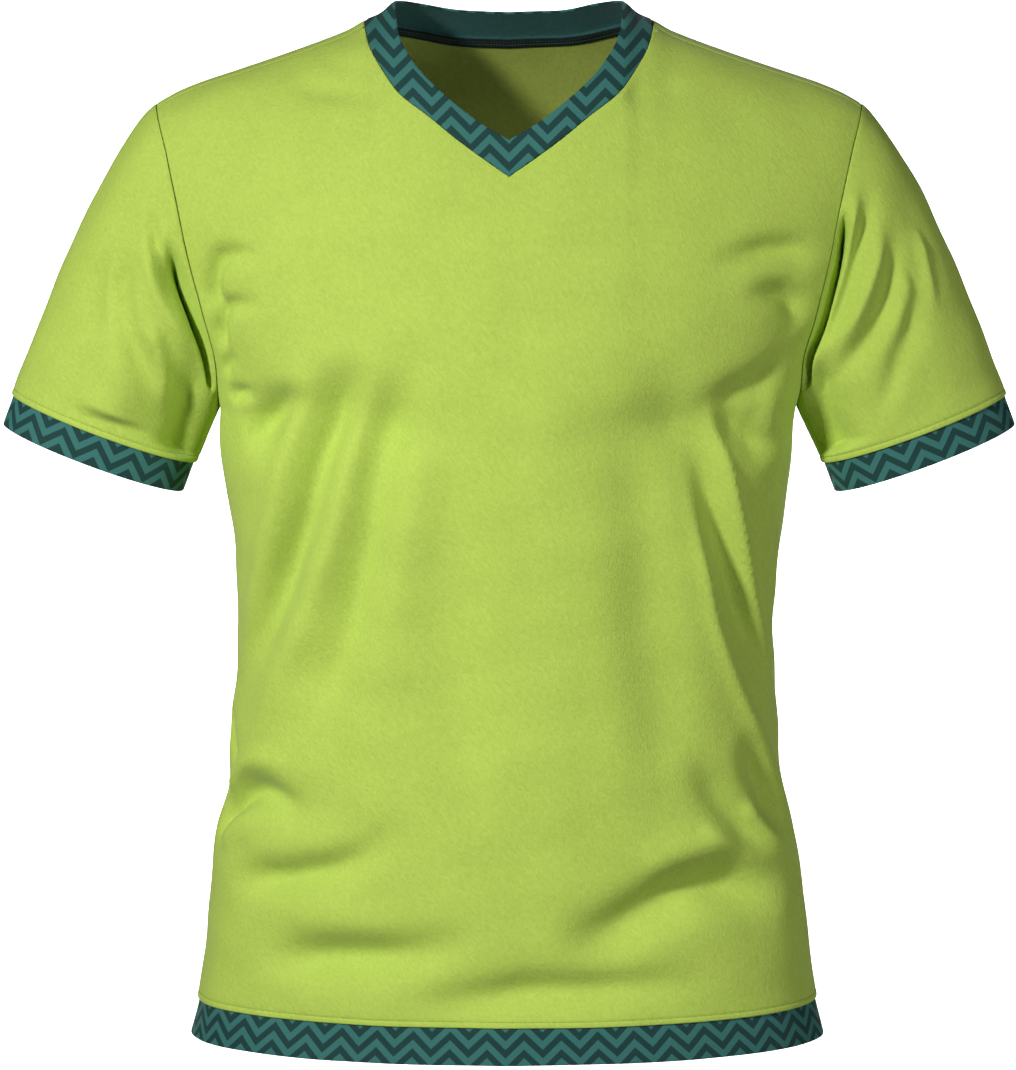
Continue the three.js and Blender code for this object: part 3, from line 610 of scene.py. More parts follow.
    def armhole(self, side: int, around: Array) -> Array:
        """Point of the armhole's seam on one side.

        Args:
            side: -1 for the left, 1 for the right.
            around: Degrees around the armhole.

        Returns:
            Points, in millimetres.
        """
        rise = (1 - np.cos(np.radians(around))) / 2
        climb = np.degrees(np.arcsin(rise)) / QUARTER
        front = (around + FULL) % FULL <= HALF
        turn = self.armhole_turn(rise)
        return self.point(side * np.where(front, turn, HALF - turn), climb)

    def armhole_around(self, front: bool, climb: Array) -> Array:
        """Degrees around the armhole at which a panel's row meets it."""
        around = np.degrees(np.arccos(1 - 2 * np.sin(lean_of(climb))))
        return np.where(front != (climb > 1), around, FULL - around)


def laid_flat(points: Array) -> Array:
    """Where each point of a grid lies on the flat cloth, from its first column and its first row."""
    return np.stack([along_rows(points), along_rows(points.transpose(1, 0, 2)).T], axis=-1)


def armhole_outward(around: Array) -> Array:
    """Way that the cloth at the armhole's seam faces: away from the middle of the arm."""
    angle = np.radians(around)
    return np.stack([np.zeros_like(angle), -np.sin(angle), -np.cos(angle)], -1)


@dataclass
class Sleeve:
    """The form of one sleeve, from its armhole to the tilted ring where the cuff band shows.

    Leave and arrive are how strongly the cloth keeps its first and last direction. Its first
    direction is out and down by the shares of leave_out and leave_down, each given under the arm
    and over the shoulder, and forward by leave_forward.
    """

    trunk: Trunk
    side: int
    folds: Sequence[Fold]
    ring_out: float = 278.7
    ring_height: float = -281.0
    ring_half_width: float = 68.0
    ring_half_depth: float = 47.0
    tilt: float = 20.5
    leave: float = 0.57
    arrive: float = 0.9
    leave_out: tuple[float, float] = (0.36, 0.8)
    leave_down: tuple[float, float] = (0.93, 0.66)
    leave_forward: float = 0.35
    around_scale: float = 1.3
    down_scale: float = 1.3
    calm_top: float = 0.07
    calm_cuff: float = 0.14
    seam_gap: float = 0.3
    turn_probe: float = 1.0
    down_probe: float = 0.01
    ripple_height: float = 0.4
    ripple_length: float = 48.0
    seed: int = 11

    def __post_init__(self) -> None:
        """Scale the folds to millimetres and lay them on this sleeve."""
        scaled = [
            fold._replace(spine=[(a * self.around_scale, d * self.down_scale) for a, d in fold.spine])
            for fold in self.folds
        ]
        self.creasing = Creasing(scaled, self.ripple_height, self.ripple_length,
                                 seed=self.seed + self.side)

    def chord(self, around: Array) -> Array:
        """Straight distance from the armhole to the cuff ring."""
        return np.linalg.norm(self.ends(around)[0] - self.ends(around)[1], axis=-1)

    def ends(self, around: Array) -> tuple[Array, Array]:
        """Start at the armhole and end at the cuff ring, as if on the left.

        Args:
            around: Degrees around the armhole.

        Returns:
            Points at the armhole, and points at the ring.
        """
        start = self.trunk.armhole(self.side, around)
        start = start * np.array([-self.side, 1, 1]) - np.array([self.seam_gap, 0, 0])
        over, front = -np.cos(np.radians(around)), np.sin(np.radians(around))
        tilt = math.radians(self.tilt)
        outer = np.array([-math.cos(tilt), 0, math.sin(tilt)])
        end = np.array([-self.ring_out, 0, self.ring_height])
        end = end + outer * (self.ring_half_width * over)[..., None]
        return start, end - np.array([0, self.ring_half_depth, 0]) * front[..., None]

    def smooth(self, around: Array, down: Array) -> Array:
        """Point on the sleeve before its folds.

        Args:
            around: Degrees around the armhole.
            down: Share of the way down. Below the ring it goes on in millimetres past 1.

        Returns:
            Points, in millimetres.
        """
        around, down = np.broadcast_arrays(np.asarray(around, float), np.asarray(down, float))
        start, end = self.ends(around)
        over, front = (1 - np.cos(np.radians(around))) / 2, np.sin(np.radians(around))
        tilt = math.radians(self.tilt)
        axis = np.array([-math.sin(tilt), 0, -math.cos(tilt)])
        out = self.leave_out[0] + (self.leave_out[1] - self.leave_out[0]) * over
        fall = self.leave_down[0] + (self.leave_down[1] - self.leave_down[0]) * over
        leave = unit(np.stack([-out, -self.leave_forward * front, -fall], -1))
        chord = np.linalg.norm(end - start, axis=-1)
        share, beyond = np.minimum(down, 1), np.maximum(down - 1, 0)
        first, leaving, last, arriving = curve_weights(share)
        point = (
            start * first[..., None]
            + leave * (leaving * chord * self.leave)[..., None]
            + end * last[..., None]
            + axis * (arriving * chord * self.arrive + beyond)[..., None]
        )
        return point * np.array([-self.side, 1, 1])

    def outward(self, form: Callable[[Array, Array], Array], around: Array, down: Array) -> Array:
        """Direction out of the sleeve.

        Args:
            form: Either smooth or point, the form whose direction is wanted.
            around: Degrees around the armhole.
            down: Share of the way down.

        Returns:
            Unit vectors.
        """
        across = form(around + self.turn_probe, down) - form(around - self.turn_probe, down)
        along = (form(around, np.minimum(down + self.down_probe, 1))
                 - form(around, np.minimum(down, 1) - self.down_probe))
        return unit(np.cross(across, along)) * -self.side

    def point(self, around: Array, down: Array) -> Array:
        """Point on the sleeve with its folds, which die away at its two ends.

        Args:
            around: Degrees around the armhole.
            down: Share of the way down.

        Returns:
            Points, in millimetres.
        """
        around, down = np.broadcast_arrays(np.asarray(around, float), np.asarray(down, float))
        base = self.smooth(around, down)
        places = around % FULL * self.around_scale
        lift = self.creasing.lift(places, np.minimum(down, 1) * HUNDREDTHS * self.down_scale, base)
        calm = ease(down, 0, self.calm_top) * ease(1 - down, 0, self.calm_cuff)
        return base + self.outward(self.smooth, around, down) * (lift * calm)[..., None]


# ---------------------------------------------------------------- cloth as meshes


class Step(NamedTuple):
    """One row of a cloth edge: its distance from the edge's line, and its depth into the cloth."""

    away: float
    depth: float


def rolled(radius: float, angles: Sequence[float], away: float = 0.0, depth: float = 0.0) -> list[Step]:
    """Rows of a rolled edge.

    Args:
        radius: Radius of the roll.
        angles: Degrees round it, from 0 where it leaves the outer face to 90 at its tip.
        away: Distance of its tip from the edge's line.
        depth: Depth of the outer face.

    Returns:
        The rows, in the order of the angles.
    """
    turns = [math.radians(angle) for angle in angles]
    return [Step(away + radius * (1 - math.sin(turn)), depth + radius * (1 - math.cos(turn)))
            for turn in turns]


def seam_steps(roll: float = 0.8, gap: float = 0.25, allowance: float = 2.2) -> list[Step]:
    """Rows of an edge that rolls inwards at a seam and ends in its allowance.

    Args:
        roll: Radius of the roll.
        gap: Gap between the two pieces that meet at the seam.
        allowance: Depth of the allowance below the roll.

    Returns:
        The rows, from the cloth outwards.
    """
    below = [Step(gap / 2, roll + allowance / 2), Step(gap / 2, roll + allowance)]
    return [*rolled(roll, (0, *ROUND_EDGE[:3]), gap / 2), *below]


def lap_steps(turned: float = 6.5, roll: float = 0.78, stitched: float = STITCH_LINE) -> list[Step]:
    """Rows of a folded edge with a stitched groove above it.

    Args:
        turned: Width of the cloth that is turned in.
        roll: Radius of the fold.
        stitched: Distance of the groove from the edge.

    Returns:
        The rows, from inside the fold to the cloth.
    """
    inside = [Step(share * turned, 2 * roll) for share in (1, 0.7, 0.4, 0.2)]
    groove = [(-2.4, -0.12), (-1.5, -0.08), (-0.8, 0.12), (-0.3, 0.4), (0.3, 0.4), (0.8, 0.12), (1.6, 0)]
    return [*inside, *rolled(roll, (HALF, *ROUND_EDGE[::-1], 0)),
            *(Step(stitched + along, depth) for along, depth in groove)]


@dataclass
class Line:
    """A seam's line at the edge of a piece of cloth.

    Points are on the line, inward is the way into the piece, mitred at corners, and outward is
    the way that the cloth faces there. Scale draws the roll in where the piece is narrow, down
    to the depth at which the roll ends.
    """

    points: Array
    inward: Array
    outward: Array
    scale: Array
    roll_end: float = 1.0

    def row(self, step: Step) -> Array:
        """Points of one row of the edge.

        Args:
            step: The row.

        Returns:
            Points, in millimetres.
        """
        depth = min(step.depth, self.roll_end) * self.scale + max(step.depth - self.roll_end, 0)
        away = self.inward * (step.away * self.scale)[..., None]
        return self.points + away - self.outward * depth[..., None]


def mitred(points: Array, outward: Array, inside: Array, closed: bool = False) -> Array:
    """Ways into a piece along its edge.

    Args:
        points: The edge's line.
        outward: The way that the cloth faces along it.
        inside: Points a little inside the piece, beside those of the edge.
        closed: Whether the line's last point joins its first.

    Returns:
        A vector for each point, such that moving along it by a distance moves the line so far.
    """
    runs = unit(np.diff(np.vstack([points, points[:1]]) if closed else points, axis=0))
    before = np.vstack([runs[-1:] if closed else runs[:1], runs])[: len(points)]
    after = runs if closed else np.vstack([runs, runs[-1:]])
    ways = []
    for run in (before, after):
        way = unit(np.cross(outward, run))
        facing = np.sign((way * (inside - points)).sum(-1, keepdims=True))
        ways.append(way * np.where(facing == 0, 1, facing))
    alike = (ways[0] * ways[1]).sum(-1, keepdims=True)
    return (ways[0] + ways[1]) / (1 + np.maximum(alike, 0))


def draw_in(line: Array, inside: Array, wanted: float, used: float = 0.6, least: float = 0.04) -> Array:
    """Scale of an edge's roll, so that it stays clear of the cloth's next row.

    Args:
        line: Points of the edge's line.
        inside: Points of the cloth's next row, beside them.
        wanted: Width of the roll where there is room for it.
        used: Share of the room that the roll may take up.
        least: Smallest scale.

    Returns:
        A scale for each point.
    """
    room = np.linalg.norm(inside[:, None, :] - line[None, :, :], axis=-1).min(axis=1)
    return np.clip(used * room / wanted, least, 1)


class Facing(Enum):
    """The two panels of the trunk."""

    FRONT = "front"
    BACK = "back"


def cloth_mesh(
    name: str,
    points: Array,
    flat: Array,
    outward: Array,
    backs: Sequence[int] = (),
) -> bpy.types.Object:
    """Make a piece of cloth from a grid that is laid on its form.

    Args:
        name: Name of the piece.
        points: Rows and columns of points, in millimetres.
        flat: Where each point lies on the flat cloth, in millimetres.
        outward: The way that the cloth faces at the middle of the grid.
        backs: First and last row of the cloth's inner face, which takes the second material.

    Returns:
        The new object, with its place in its mesh.
    """
    rows, columns = points.shape[:2]
    mesh = bmesh.new()
    bmesh.ops.create_grid(mesh, x_segments=columns - 1, y_segments=rows - 1, size=1, calc_uvs=True)
    layer = mesh.loops.layers.uv.verify()
    places, flats = points.reshape(-1, 3) * MM, flat.reshape(-1, 2)
    mesh.verts.ensure_lookup_table()
    mesh.faces.ensure_lookup_table()
    for vertex, place in zip(mesh.verts, places):
        vertex.co = place
    for face in mesh.faces:
        lowest = min(loop.vert.index for loop in face.loops) // columns
        face.material_index = int(bool(backs) and backs[0] <= lowest < backs[-1])
        face.smooth = True
        for loop in face.loops:
            loop[layer].uv = flats[loop.vert.index]
    middle = mesh.faces[(rows // 2) * (columns - 1) + columns // 2]
    middle.normal_update()
    if middle.normal.dot(Vector(outward)) < 0:
        bmesh.ops.reverse_faces(mesh, faces=mesh.faces)
    bmesh.ops.remove_doubles(mesh, verts=mesh.verts, dist=MERGED_WITHIN)
    mesh.normal_update()
    return finished(name, mesh)


def finished(name: str, mesh: bmesh.types.BMesh) -> bpy.types.Object:
    """Object of a finished bmesh, linked to the scene.

    Args:
        name: Name of the object.
        mesh: The bmesh, which is freed.

    Returns:
        The new object.
    """
    data = bpy.data.meshes.new(name)
    mesh.to_mesh(data)
    mesh.free()
    piece = bpy.data.objects.new(name, data)
    bpy.context.scene.collection.objects.link(piece)
    return piece


def thicken(piece: bpy.types.Object, thickness: float, wrong_side: int = 0) -> None:
    """Give a sheet its thickness, inwards from its outer face.

    Args:
        piece: The sheet.
        thickness: Its thickness, in millimetres.
        wrong_side: How many materials further on the one of its inner face is.
    """
    wall = piece.modifiers.new("thickness", "SOLIDIFY")
    wall.thickness = thickness * MM
    wall.offset = -1
    wall.use_rim = True
    wall.material_offset = wrong_side


# ---------------------------------------------------------------- finishes


class Shader:
    """A material's node tree, with short ways to add and join nodes."""

    specular = 0.18
    sheen_roughness = 0.45

    def __init__(self, name: str) -> None:
        """Start a material with its surface shader.

        Args:
            name: Name of the material.
        """
        self.material = bpy.data.materials.new(name)
        self.material.use_nodes = True
        self.tree = self.material.node_tree
        self.surface = self.tree.nodes["Principled BSDF"]

    def add(self, kind: str, inputs: dict[Any, Any] | None = None, **settings: Any) -> bpy.types.Node:
        """Add a node.

        Args:
            kind: The node's type.
            inputs: Values or sockets for its inputs, by name or number.
            settings: The node's own settings.

        Returns:
            The new node.
        """
        node = self.tree.nodes.new(kind)
        for key, value in settings.items():
            setattr(node, key, value)
        for key, value in (inputs or {}).items():
            self.feed(node.inputs[key], value)
        return node

    def feed(self, socket: bpy.types.NodeSocket, value: Any) -> None:
        """Set a socket to a value, or join it to another socket.

        Args:
            socket: The input.
            value: The value, or the output that feeds it.
        """
        if isinstance(value, bpy.types.NodeSocket):
            self.tree.links.new(value, socket)
        else:
            socket.default_value = value

    def math(self, operation: str, *values: Any) -> bpy.types.NodeSocket:
        """Result of a sum of up to three numbers or sockets."""
        return self.add("ShaderNodeMath", dict(enumerate(values)), operation=operation).outputs[0]

    def noise(self, vector: bpy.types.NodeSocket, scale: float, detail: float = 2.0,
              distortion: float = 0.0) -> bpy.types.NodeSocket:
        """Strength of a cloud pattern, 0 to 1."""
        inputs = {"Vector": vector, "Scale": scale, "Detail": detail, "Distortion": distortion}
        return self.add("ShaderNodeTexNoise", inputs).outputs[0]

    def stretched(self, vector: bpy.types.NodeSocket, turn: Sequence[float],
                  scale: Sequence[float]) -> bpy.types.NodeSocket:
        """A pattern's place, turned and then stretched.

        Args:
            vector: Place on the object.
            turn: Angles that it is turned by.
            scale: Scales along the turned axes.

        Returns:
            The new place.
        """
        turned = self.add("ShaderNodeMapping", {"Vector": vector, "Rotation": tuple(turn)})
        scaled = self.add("ShaderNodeMapping", {"Vector": turned.outputs[0], "Scale": tuple(scale)})
        return scaled.outputs[0]

    def between(self, factor: bpy.types.NodeSocket, low: tuple[float, Colour],
                high: tuple[float, Colour]) -> bpy.types.NodeSocket:
        """Colour that goes from one to another as a factor goes from one value to another.

        Args:
            factor: The factor.
            low: Lower value of the factor, and its colour.
            high: Higher value of the factor, and its colour.

        Returns:
            The colour.
        """
        ramp = self.add("ShaderNodeValToRGB", {0: factor})
        for element, (position, colour) in zip(ramp.color_ramp.elements, (low, high)):
            element.position, element.color = position, (*colour, 1)
        return ramp.outputs[0]

    def bump(self, height: bpy.types.NodeSocket, depth: float,
             below: bpy.types.NodeSocket | None = None) -> bpy.types.NodeSocket:
        """Surface direction roughened by a height.

        Args:
            height: Height of the pattern, 0 to 1.
            depth: Depth of the pattern, in millimetres.
            below: Direction that is roughened, or none for that of the mesh.

        Returns:
            The direction.
        """
        inputs = {"Height": height, "Distance": depth * MM, "Strength": 1.0}
        if below is not None:
            inputs["Normal"] = below
        return self.add("ShaderNodeBump", inputs).outputs[0]

    def cloth(self, roughness: float, sheen: float) -> None:
        """Set what is the same all over a cloth.

        Args:
            roughness: Roughness of the surface.
            sheen: Weight of the sheen.
        """
        self.feed(self.surface.inputs["Roughness"], roughness)
        self.feed(self.surface.inputs["Specular IOR Level"], self.specular)
        self.feed(self.surface.inputs["Sheen Weight"], sheen)
        self.feed(self.surface.inputs["Sheen Roughness"], self.sheen_roughness)


@dataclass(frozen=True)
class Grain:
    """Fine bumps that every cloth shares: a scale and a depth in millimetres."""

    scale: float = 1300.0
    depth: float = 0.05
    detail: float = 2.0

    def bump(self, shader: Shader, place: bpy.types.NodeSocket) -> bpy.types.NodeSocket:
        """Surface direction roughened by the bumps."""
        return shader.bump(shader.noise(place, self.scale, self.detail), self.depth)


@dataclass(frozen=True)
class Jersey:
    """Brushed jersey, faintly mottled along the slant, with a fine knit."""

    name: str = "lime_jersey"
    light: Colour = (0.520, 0.690, 0.112)
    deep: Colour = (0.440, 0.590, 0.091)
    light_above: float = 0.66
    deep_below: float = 0.3
    slant: float = 38.0
    slant_squeeze: float = 0.42
    mottle_scale: float = 540.0
    mottle_detail: float = 3.0
    mottle_distortion: float = 0.9
    mottle_depth: float = 0.45
    cloud_scale: float = 38.0
    cloud_detail: float = 3.0
    cloud_share: float = 0.25
    grain_scale: float = 1500.0
    grain_detail: float = 2.0
    knit_pitch: float = 1.1
    knit_waves: float = 3.2
    knit_distortion: float = 1.2
    knit_detail: float = 1.0
    knit_share: float = 0.4
    knit_depth: float = 0.05
    roughness: float = 0.82
    sheen: float = 0.12

    def material(self) -> bpy.types.Material:
        """Make the material.

        Returns:
            The material.
        """
        shader = Shader(self.name)
        place = shader.add("ShaderNodeTexCoord").outputs["Object"]
        slanted = shader.stretched(place, (0, math.radians(self.slant), 0), (1, 1, self.slant_squeeze))
        mottle = shader.noise(slanted, self.mottle_scale, self.mottle_detail, self.mottle_distortion)
        cloud = shader.noise(place, self.cloud_scale, self.cloud_detail)
        blend = shader.math("ADD", shader.math("MULTIPLY", mottle, 1 - self.cloud_share),
                            shader.math("MULTIPLY", cloud, self.cloud_share))
        colour = shader.between(blend, (self.deep_below, self.deep), (self.light_above, self.light))
        shader.feed(shader.surface.inputs["Base Color"], colour)
        shader.feed(shader.surface.inputs["Normal"],
                    shader.bump(mottle, self.mottle_depth, self.knit(shader, place)))
        shader.cloth(self.roughness, self.sheen)
        return shader.material

    def knit(self, shader: Shader, place: bpy.types.NodeSocket) -> bpy.types.NodeSocket:
        """Surface direction roughened by the knit's ribs and a fine grain.

        Args:
            shader: The material that is being made.
            place: Place on the object.

        Returns:
            The direction.
        """
        flat = shader.add("ShaderNodeUVMap").outputs[0]
        inputs = {"Vector": flat, "Scale": 1 / self.knit_pitch / self.knit_waves,
                  "Distortion": self.knit_distortion, "Detail": self.knit_detail}
        ribs = shader.add("ShaderNodeTexWave", inputs, wave_type="BANDS", bands_direction="X")
        grain = shader.noise(place, self.grain_scale, self.grain_detail)
        height = shader.math("ADD", shader.math("MULTIPLY", ribs.outputs["Fac"], self.knit_share), grain)
        return shader.bump(height, self.knit_depth)


@dataclass(frozen=True)
class ZigzagBand:
    """Knit band with zigzag stripes in two teals, drawn on the flat cloth.

    Period, height and stack are a zigzag's length, its height and the height from one stripe to
    the next of its colour. Softness is the share of that height over which the colours meet, and
    wobble is how far the knit's loops stray, in millimetres.
    """

    light: Colour = (0.044, 0.178, 0.160)
    dark: Colour = (0.0137, 0.056, 0.051)
    period: float = 26.0
    height: float = 12.4
    stack: float = 12.0
    softness: float = 0.02
    wobble: float = 0.5
    wobble_scale: float = 900.0
    wobble_detail: float = 1.0
    mottle_scale: float = 420.0
    mottle_detail: float = 3.0
    mottle_distortion: float = 0.5
    mottle_depth: float = 0.1
    roughness: float = 0.8
    sheen: float = 0.08
    grain: Grain = Grain()

    def material(self) -> bpy.types.Material:
        """Make the material.

        Returns:
            The material.
        """
        shader = Shader("zigzag_band")
        place = shader.add("ShaderNodeTexCoord").outputs["Object"]
        meeting = 0.25
        colour = shader.between(self.stripes(shader, place), (meeting - self.softness, self.dark),
                                (meeting + self.softness, self.light))
        mottle = shader.noise(place, self.mottle_scale, self.mottle_detail, self.mottle_distortion)
        shader.feed(shader.surface.inputs["Base Color"], colour)
        shader.feed(shader.surface.inputs["Normal"],
                    shader.bump(mottle, self.mottle_depth, self.grain.bump(shader, place)))
        shader.cloth(self.roughness, self.sheen)
        return shader.material

    def stripes(self, shader: Shader, place: bpy.types.NodeSocket) -> bpy.types.NodeSocket:
        """Draw the stripes, which are dark below a quarter and light above it.

        Args:
            shader: The material that is being made.
            place: Place on the object.

        Returns:
            Distance from the middle of a dark stripe, as a share of the stack.
        """
        flat = shader.add("ShaderNodeSeparateXYZ", {0: shader.add("ShaderNodeUVMap").outputs[0]})
        loops = shader.noise(place, self.wobble_scale, self.wobble_detail)
        stray = shader.math("MULTIPLY_ADD", loops, self.wobble, -self.wobble / 2)
        across = shader.math("ADD", flat.outputs[0], stray)
        slope = shader.math("PINGPONG", across, self.period / 2)
        rise = shader.math("MULTIPLY_ADD", slope, -2 * self.height / self.period, flat.outputs[1])
        stripe = shader.math("FRACT", shader.math("DIVIDE", rise, self.stack))
        return shader.math("ABSOLUTE", shader.math("SUBTRACT", stripe, 0.5))


@dataclass(frozen=True)
class PlainCloth:
    """Plain cloth with a faint mottle and a fine grain."""

    name: str
    light: Colour
    deep: Colour
    light_above: float = 0.65
    deep_below: float = 0.35
    mottle_scale: float = 420.0
    mottle_detail: float = 3.0
    mottle_distortion: float = 0.5
    mottle_depth: float = 0.1
    roughness: float = 0.85
    sheen: float = 0.08
    grain: Grain = Grain()

    def material(self) -> bpy.types.Material:
        """Make the material.

        Returns:
            The material.
        """
        shader = Shader(self.name)
        place = shader.add("ShaderNodeTexCoord").outputs["Object"]
        mottle = shader.noise(place, self.mottle_scale, self.mottle_detail, self.mottle_distortion)
        colour = shader.between(mottle, (self.deep_below, self.deep), (self.light_above, self.light))
        shader.feed(shader.surface.inputs["Base Color"], colour)
        shader.feed(shader.surface.inputs["Normal"],
                    shader.bump(mottle, self.mottle_depth, self.grain.bump(shader, place)))
        shader.cloth(self.roughness, self.sheen)
        return shader.material


@dataclass(frozen=True)
class Finishes:
    """Every material of the shirt. The jersey's inner face is a darker copy of the jersey: painted shade
    inside the shirt.
    """

    jersey: bpy.types.Material
    jersey_inside_painted_shade: bpy.types.Material
    zigzag: bpy.types.Material
    inner_band: bpy.types.Material
    tape: bpy.types.Material
    # lime thread, its own colour darkened as painted shade of the stitch dents
    lime_thread_painted_shade: bpy.types.Material
    teal_thread: bpy.types.Material


def make_finishes() -> Finishes:
    """Make every material once.

    Returns:
        The materials.
    """
    return Finishes(
        jersey=Jersey().material(),
        # painted shade: a darker copy of the jersey for the panels' inner face, which darkens the inside of
        # the shirt
        jersey_inside_painted_shade=Jersey("lime_jersey_inside", (0.30, 0.37, 0.062), (0.25, 0.31, 0.052)).material(),
        zigzag=ZigzagBand().material(),
        inner_band=PlainCloth("inner_band", (0.027, 0.100, 0.092), (0.022, 0.082, 0.075)).material(),
        tape=PlainCloth("neck_tape", (0.006, 0.016, 0.015), (0.004, 0.011, 0.010)).material(),
        # lime thread, darkened below the jersey as painted shade of the dents that the stitches sit in
        lime_thread_painted_shade=PlainCloth("lime_thread_painted_shade", (0.300, 0.385, 0.060), (0.240, 0.310, 0.045)).material(),
        teal_thread=PlainCloth("teal_thread", (0.060, 0.190, 0.175), (0.050, 0.160, 0.148)).material(),
    )


def dress(piece: bpy.types.Object, *materials: bpy.types.Material) -> None:
    """Give a piece its materials, in order."""
    for material in materials:
        piece.data.materials.append(material)


# ---------------------------------------------------------------- the cut pieces


@dataclass
class Panel:
    """Front or back panel, from the lap over the hem band to the neck and shoulder seams.

    Its columns keep their share of the way to the armhole. Steepest is how much wider than level
    a row's margin gets where the seam above is steep, spread softly over some columns.
    """

    trunk: Trunk
    facing: Facing
    finishes: Finishes
    column_spacing: float = 3.4
    row_spacing: float = 3.4
    side_margin: float = 3.2
    top_margin: float = 3.0
    thickness: float = 0.7
    shoulder_seam_turn: float = 7.0
    spread_columns: int = 6
    steepest: float = 3.0
    neck_samples: int = 400
    climb_samples: int = 80
    lap_scale: float = 0.5
    lap_depths: tuple[float, float] = (0.2, 1.2)
    corner_climb: float = 0.01
    corner_share: float = 0.98

    def __post_init__(self) -> None:
        """Take the hem seam's height from the solids, and the neckline from its table."""
        self.front = self.facing is Facing.FRONT
        self.hem_seam = hem_seam_height()
        table = FRONT_NECK if self.front else BACK_NECK
        runs = np.linspace(0, 1, self.neck_samples)
        x, z = read(table, "run", "seam_x", runs), read(table, "run", "seam_z", runs)
        turn, climb = self.trunk.place(x, z)
        self.neck_shares = turn / self.trunk.armhole_turn(np.sin(lean_of(climb)))
        self.neck_climbs = climb
        self.shoulder = 1 + (-1 if self.front else 1) * self.shoulder_seam_turn / QUARTER

    def shares(self) -> Array:
        """Shares of the way to the armhole of one half's columns, the edge's own left out.

        Returns:
            The shares, from the centre out.
        """
        trunk = self.trunk
        neck_girth = float(trunk.girth(np.array(self.neck_shares[-1] * QUARTER)))
        side_girth = float(trunk.girth(np.array(QUARTER))) - self.side_margin
        side = np.interp(steps(neck_girth, side_girth, self.column_spacing)[1:],
                         trunk.girths, trunk.turns) / QUARTER
        turn = trunk.column_turn(self.neck_shares, self.neck_climbs)
        travelled = along_rows(trunk.smooth(turn, self.neck_climbs)[None])[0]
        neck = np.interp(steps(0, travelled[-1], self.column_spacing), travelled, self.neck_shares)
        meeting = [] if self.front else [front_neck_share(trunk)]
        return np.sort(np.concatenate([neck, side, meeting]))

    def top(self, shares: Array) -> Array:
        """Climb at which each column meets the neck or shoulder seam.

        Args:
            shares: Signed shares of the way to the armhole.

        Returns:
            The climbs.
        """
        shares = np.abs(shares)
        neck = np.interp(shares, self.neck_shares, self.neck_climbs)
        return np.where(shares > self.neck_shares[-1] + TINY, self.shoulder, neck)

    def signed(self, shares: Array, climb: Array) -> Array:
        """Turn of signed shares at a climb, counted from the centre front.

        Args:
            shares: Signed shares of the way to the armhole.
            climb: Climb.

        Returns:
            The turns.
        """
        turn = self.trunk.column_turn(np.abs(shares), climb)
        side = np.where(shares < 0, -1.0, 1.0)
        return side * (turn if self.front else HALF - turn)

    def at(self, shares: Array, climb: Array) -> Array:
        """Points of the panel at signed shares and climbs."""
        return self.trunk.point(self.signed(shares, climb), climb)

    def facing_at(self, shares: Array, climb: Array) -> Array:
        """The way that the panel faces."""
        return self.trunk.outward(self.trunk.point, self.signed(shares, climb), climb)

    def climbs(self, shares: Array) -> Array:
        """Climb of each row and column above the folded edge.

        Args:
            shares: Signed share of each column.

        Returns:
            Rows and columns of climbs.
        """
        bottom = self.hem_seam - self.trunk.armpit + max(step.away for step in lap_steps())
        low = steps(bottom + self.row_spacing, 0, self.row_spacing)
        top = self.top(shares)
        fine = np.linspace(0, 1, self.climb_samples)[:, None] * top
        path = self.trunk.smooth(self.signed(shares, fine), fine)
        travelled = along_rows(path.transpose(1, 0, 2)).T
        slant, width = np.gradient(travelled[-1], shares), np.gradient(path[-1, :, 0], shares)
        steep = np.clip(np.hypot(slant, width) / np.maximum(np.abs(width), TINY), 1, self.steepest)
        reach = travelled[-1] - self.top_margin * self.spread(steep)
        count = int(round(float(travelled[-1].max()) / self.row_spacing))
        high = np.empty((count, len(shares)))
        for column in range(len(shares)):
            ways = np.linspace(0, reach[column], count + 1)[1:]
            high[:, column] = np.interp(ways, travelled[:, column], fine[:, column])
        return np.vstack([np.repeat(low[:, None], len(shares), axis=1), high])

    def spread(self, values: Array) -> Array:
        """Values along the columns with each high one spread softly to its neighbours.

        Args:
            values: A value for each column.

        Returns:
            The spread values.
        """
        reach = self.spread_columns
        padded = np.pad(values, 2 * reach, mode="edge")
        windows = np.lib.stride_tricks.sliding_window_view(padded, 2 * reach + 1)
        highest = windows.max(axis=-1)
        return np.lib.stride_tricks.sliding_window_view(highest, 2 * reach + 1).mean(axis=-1)

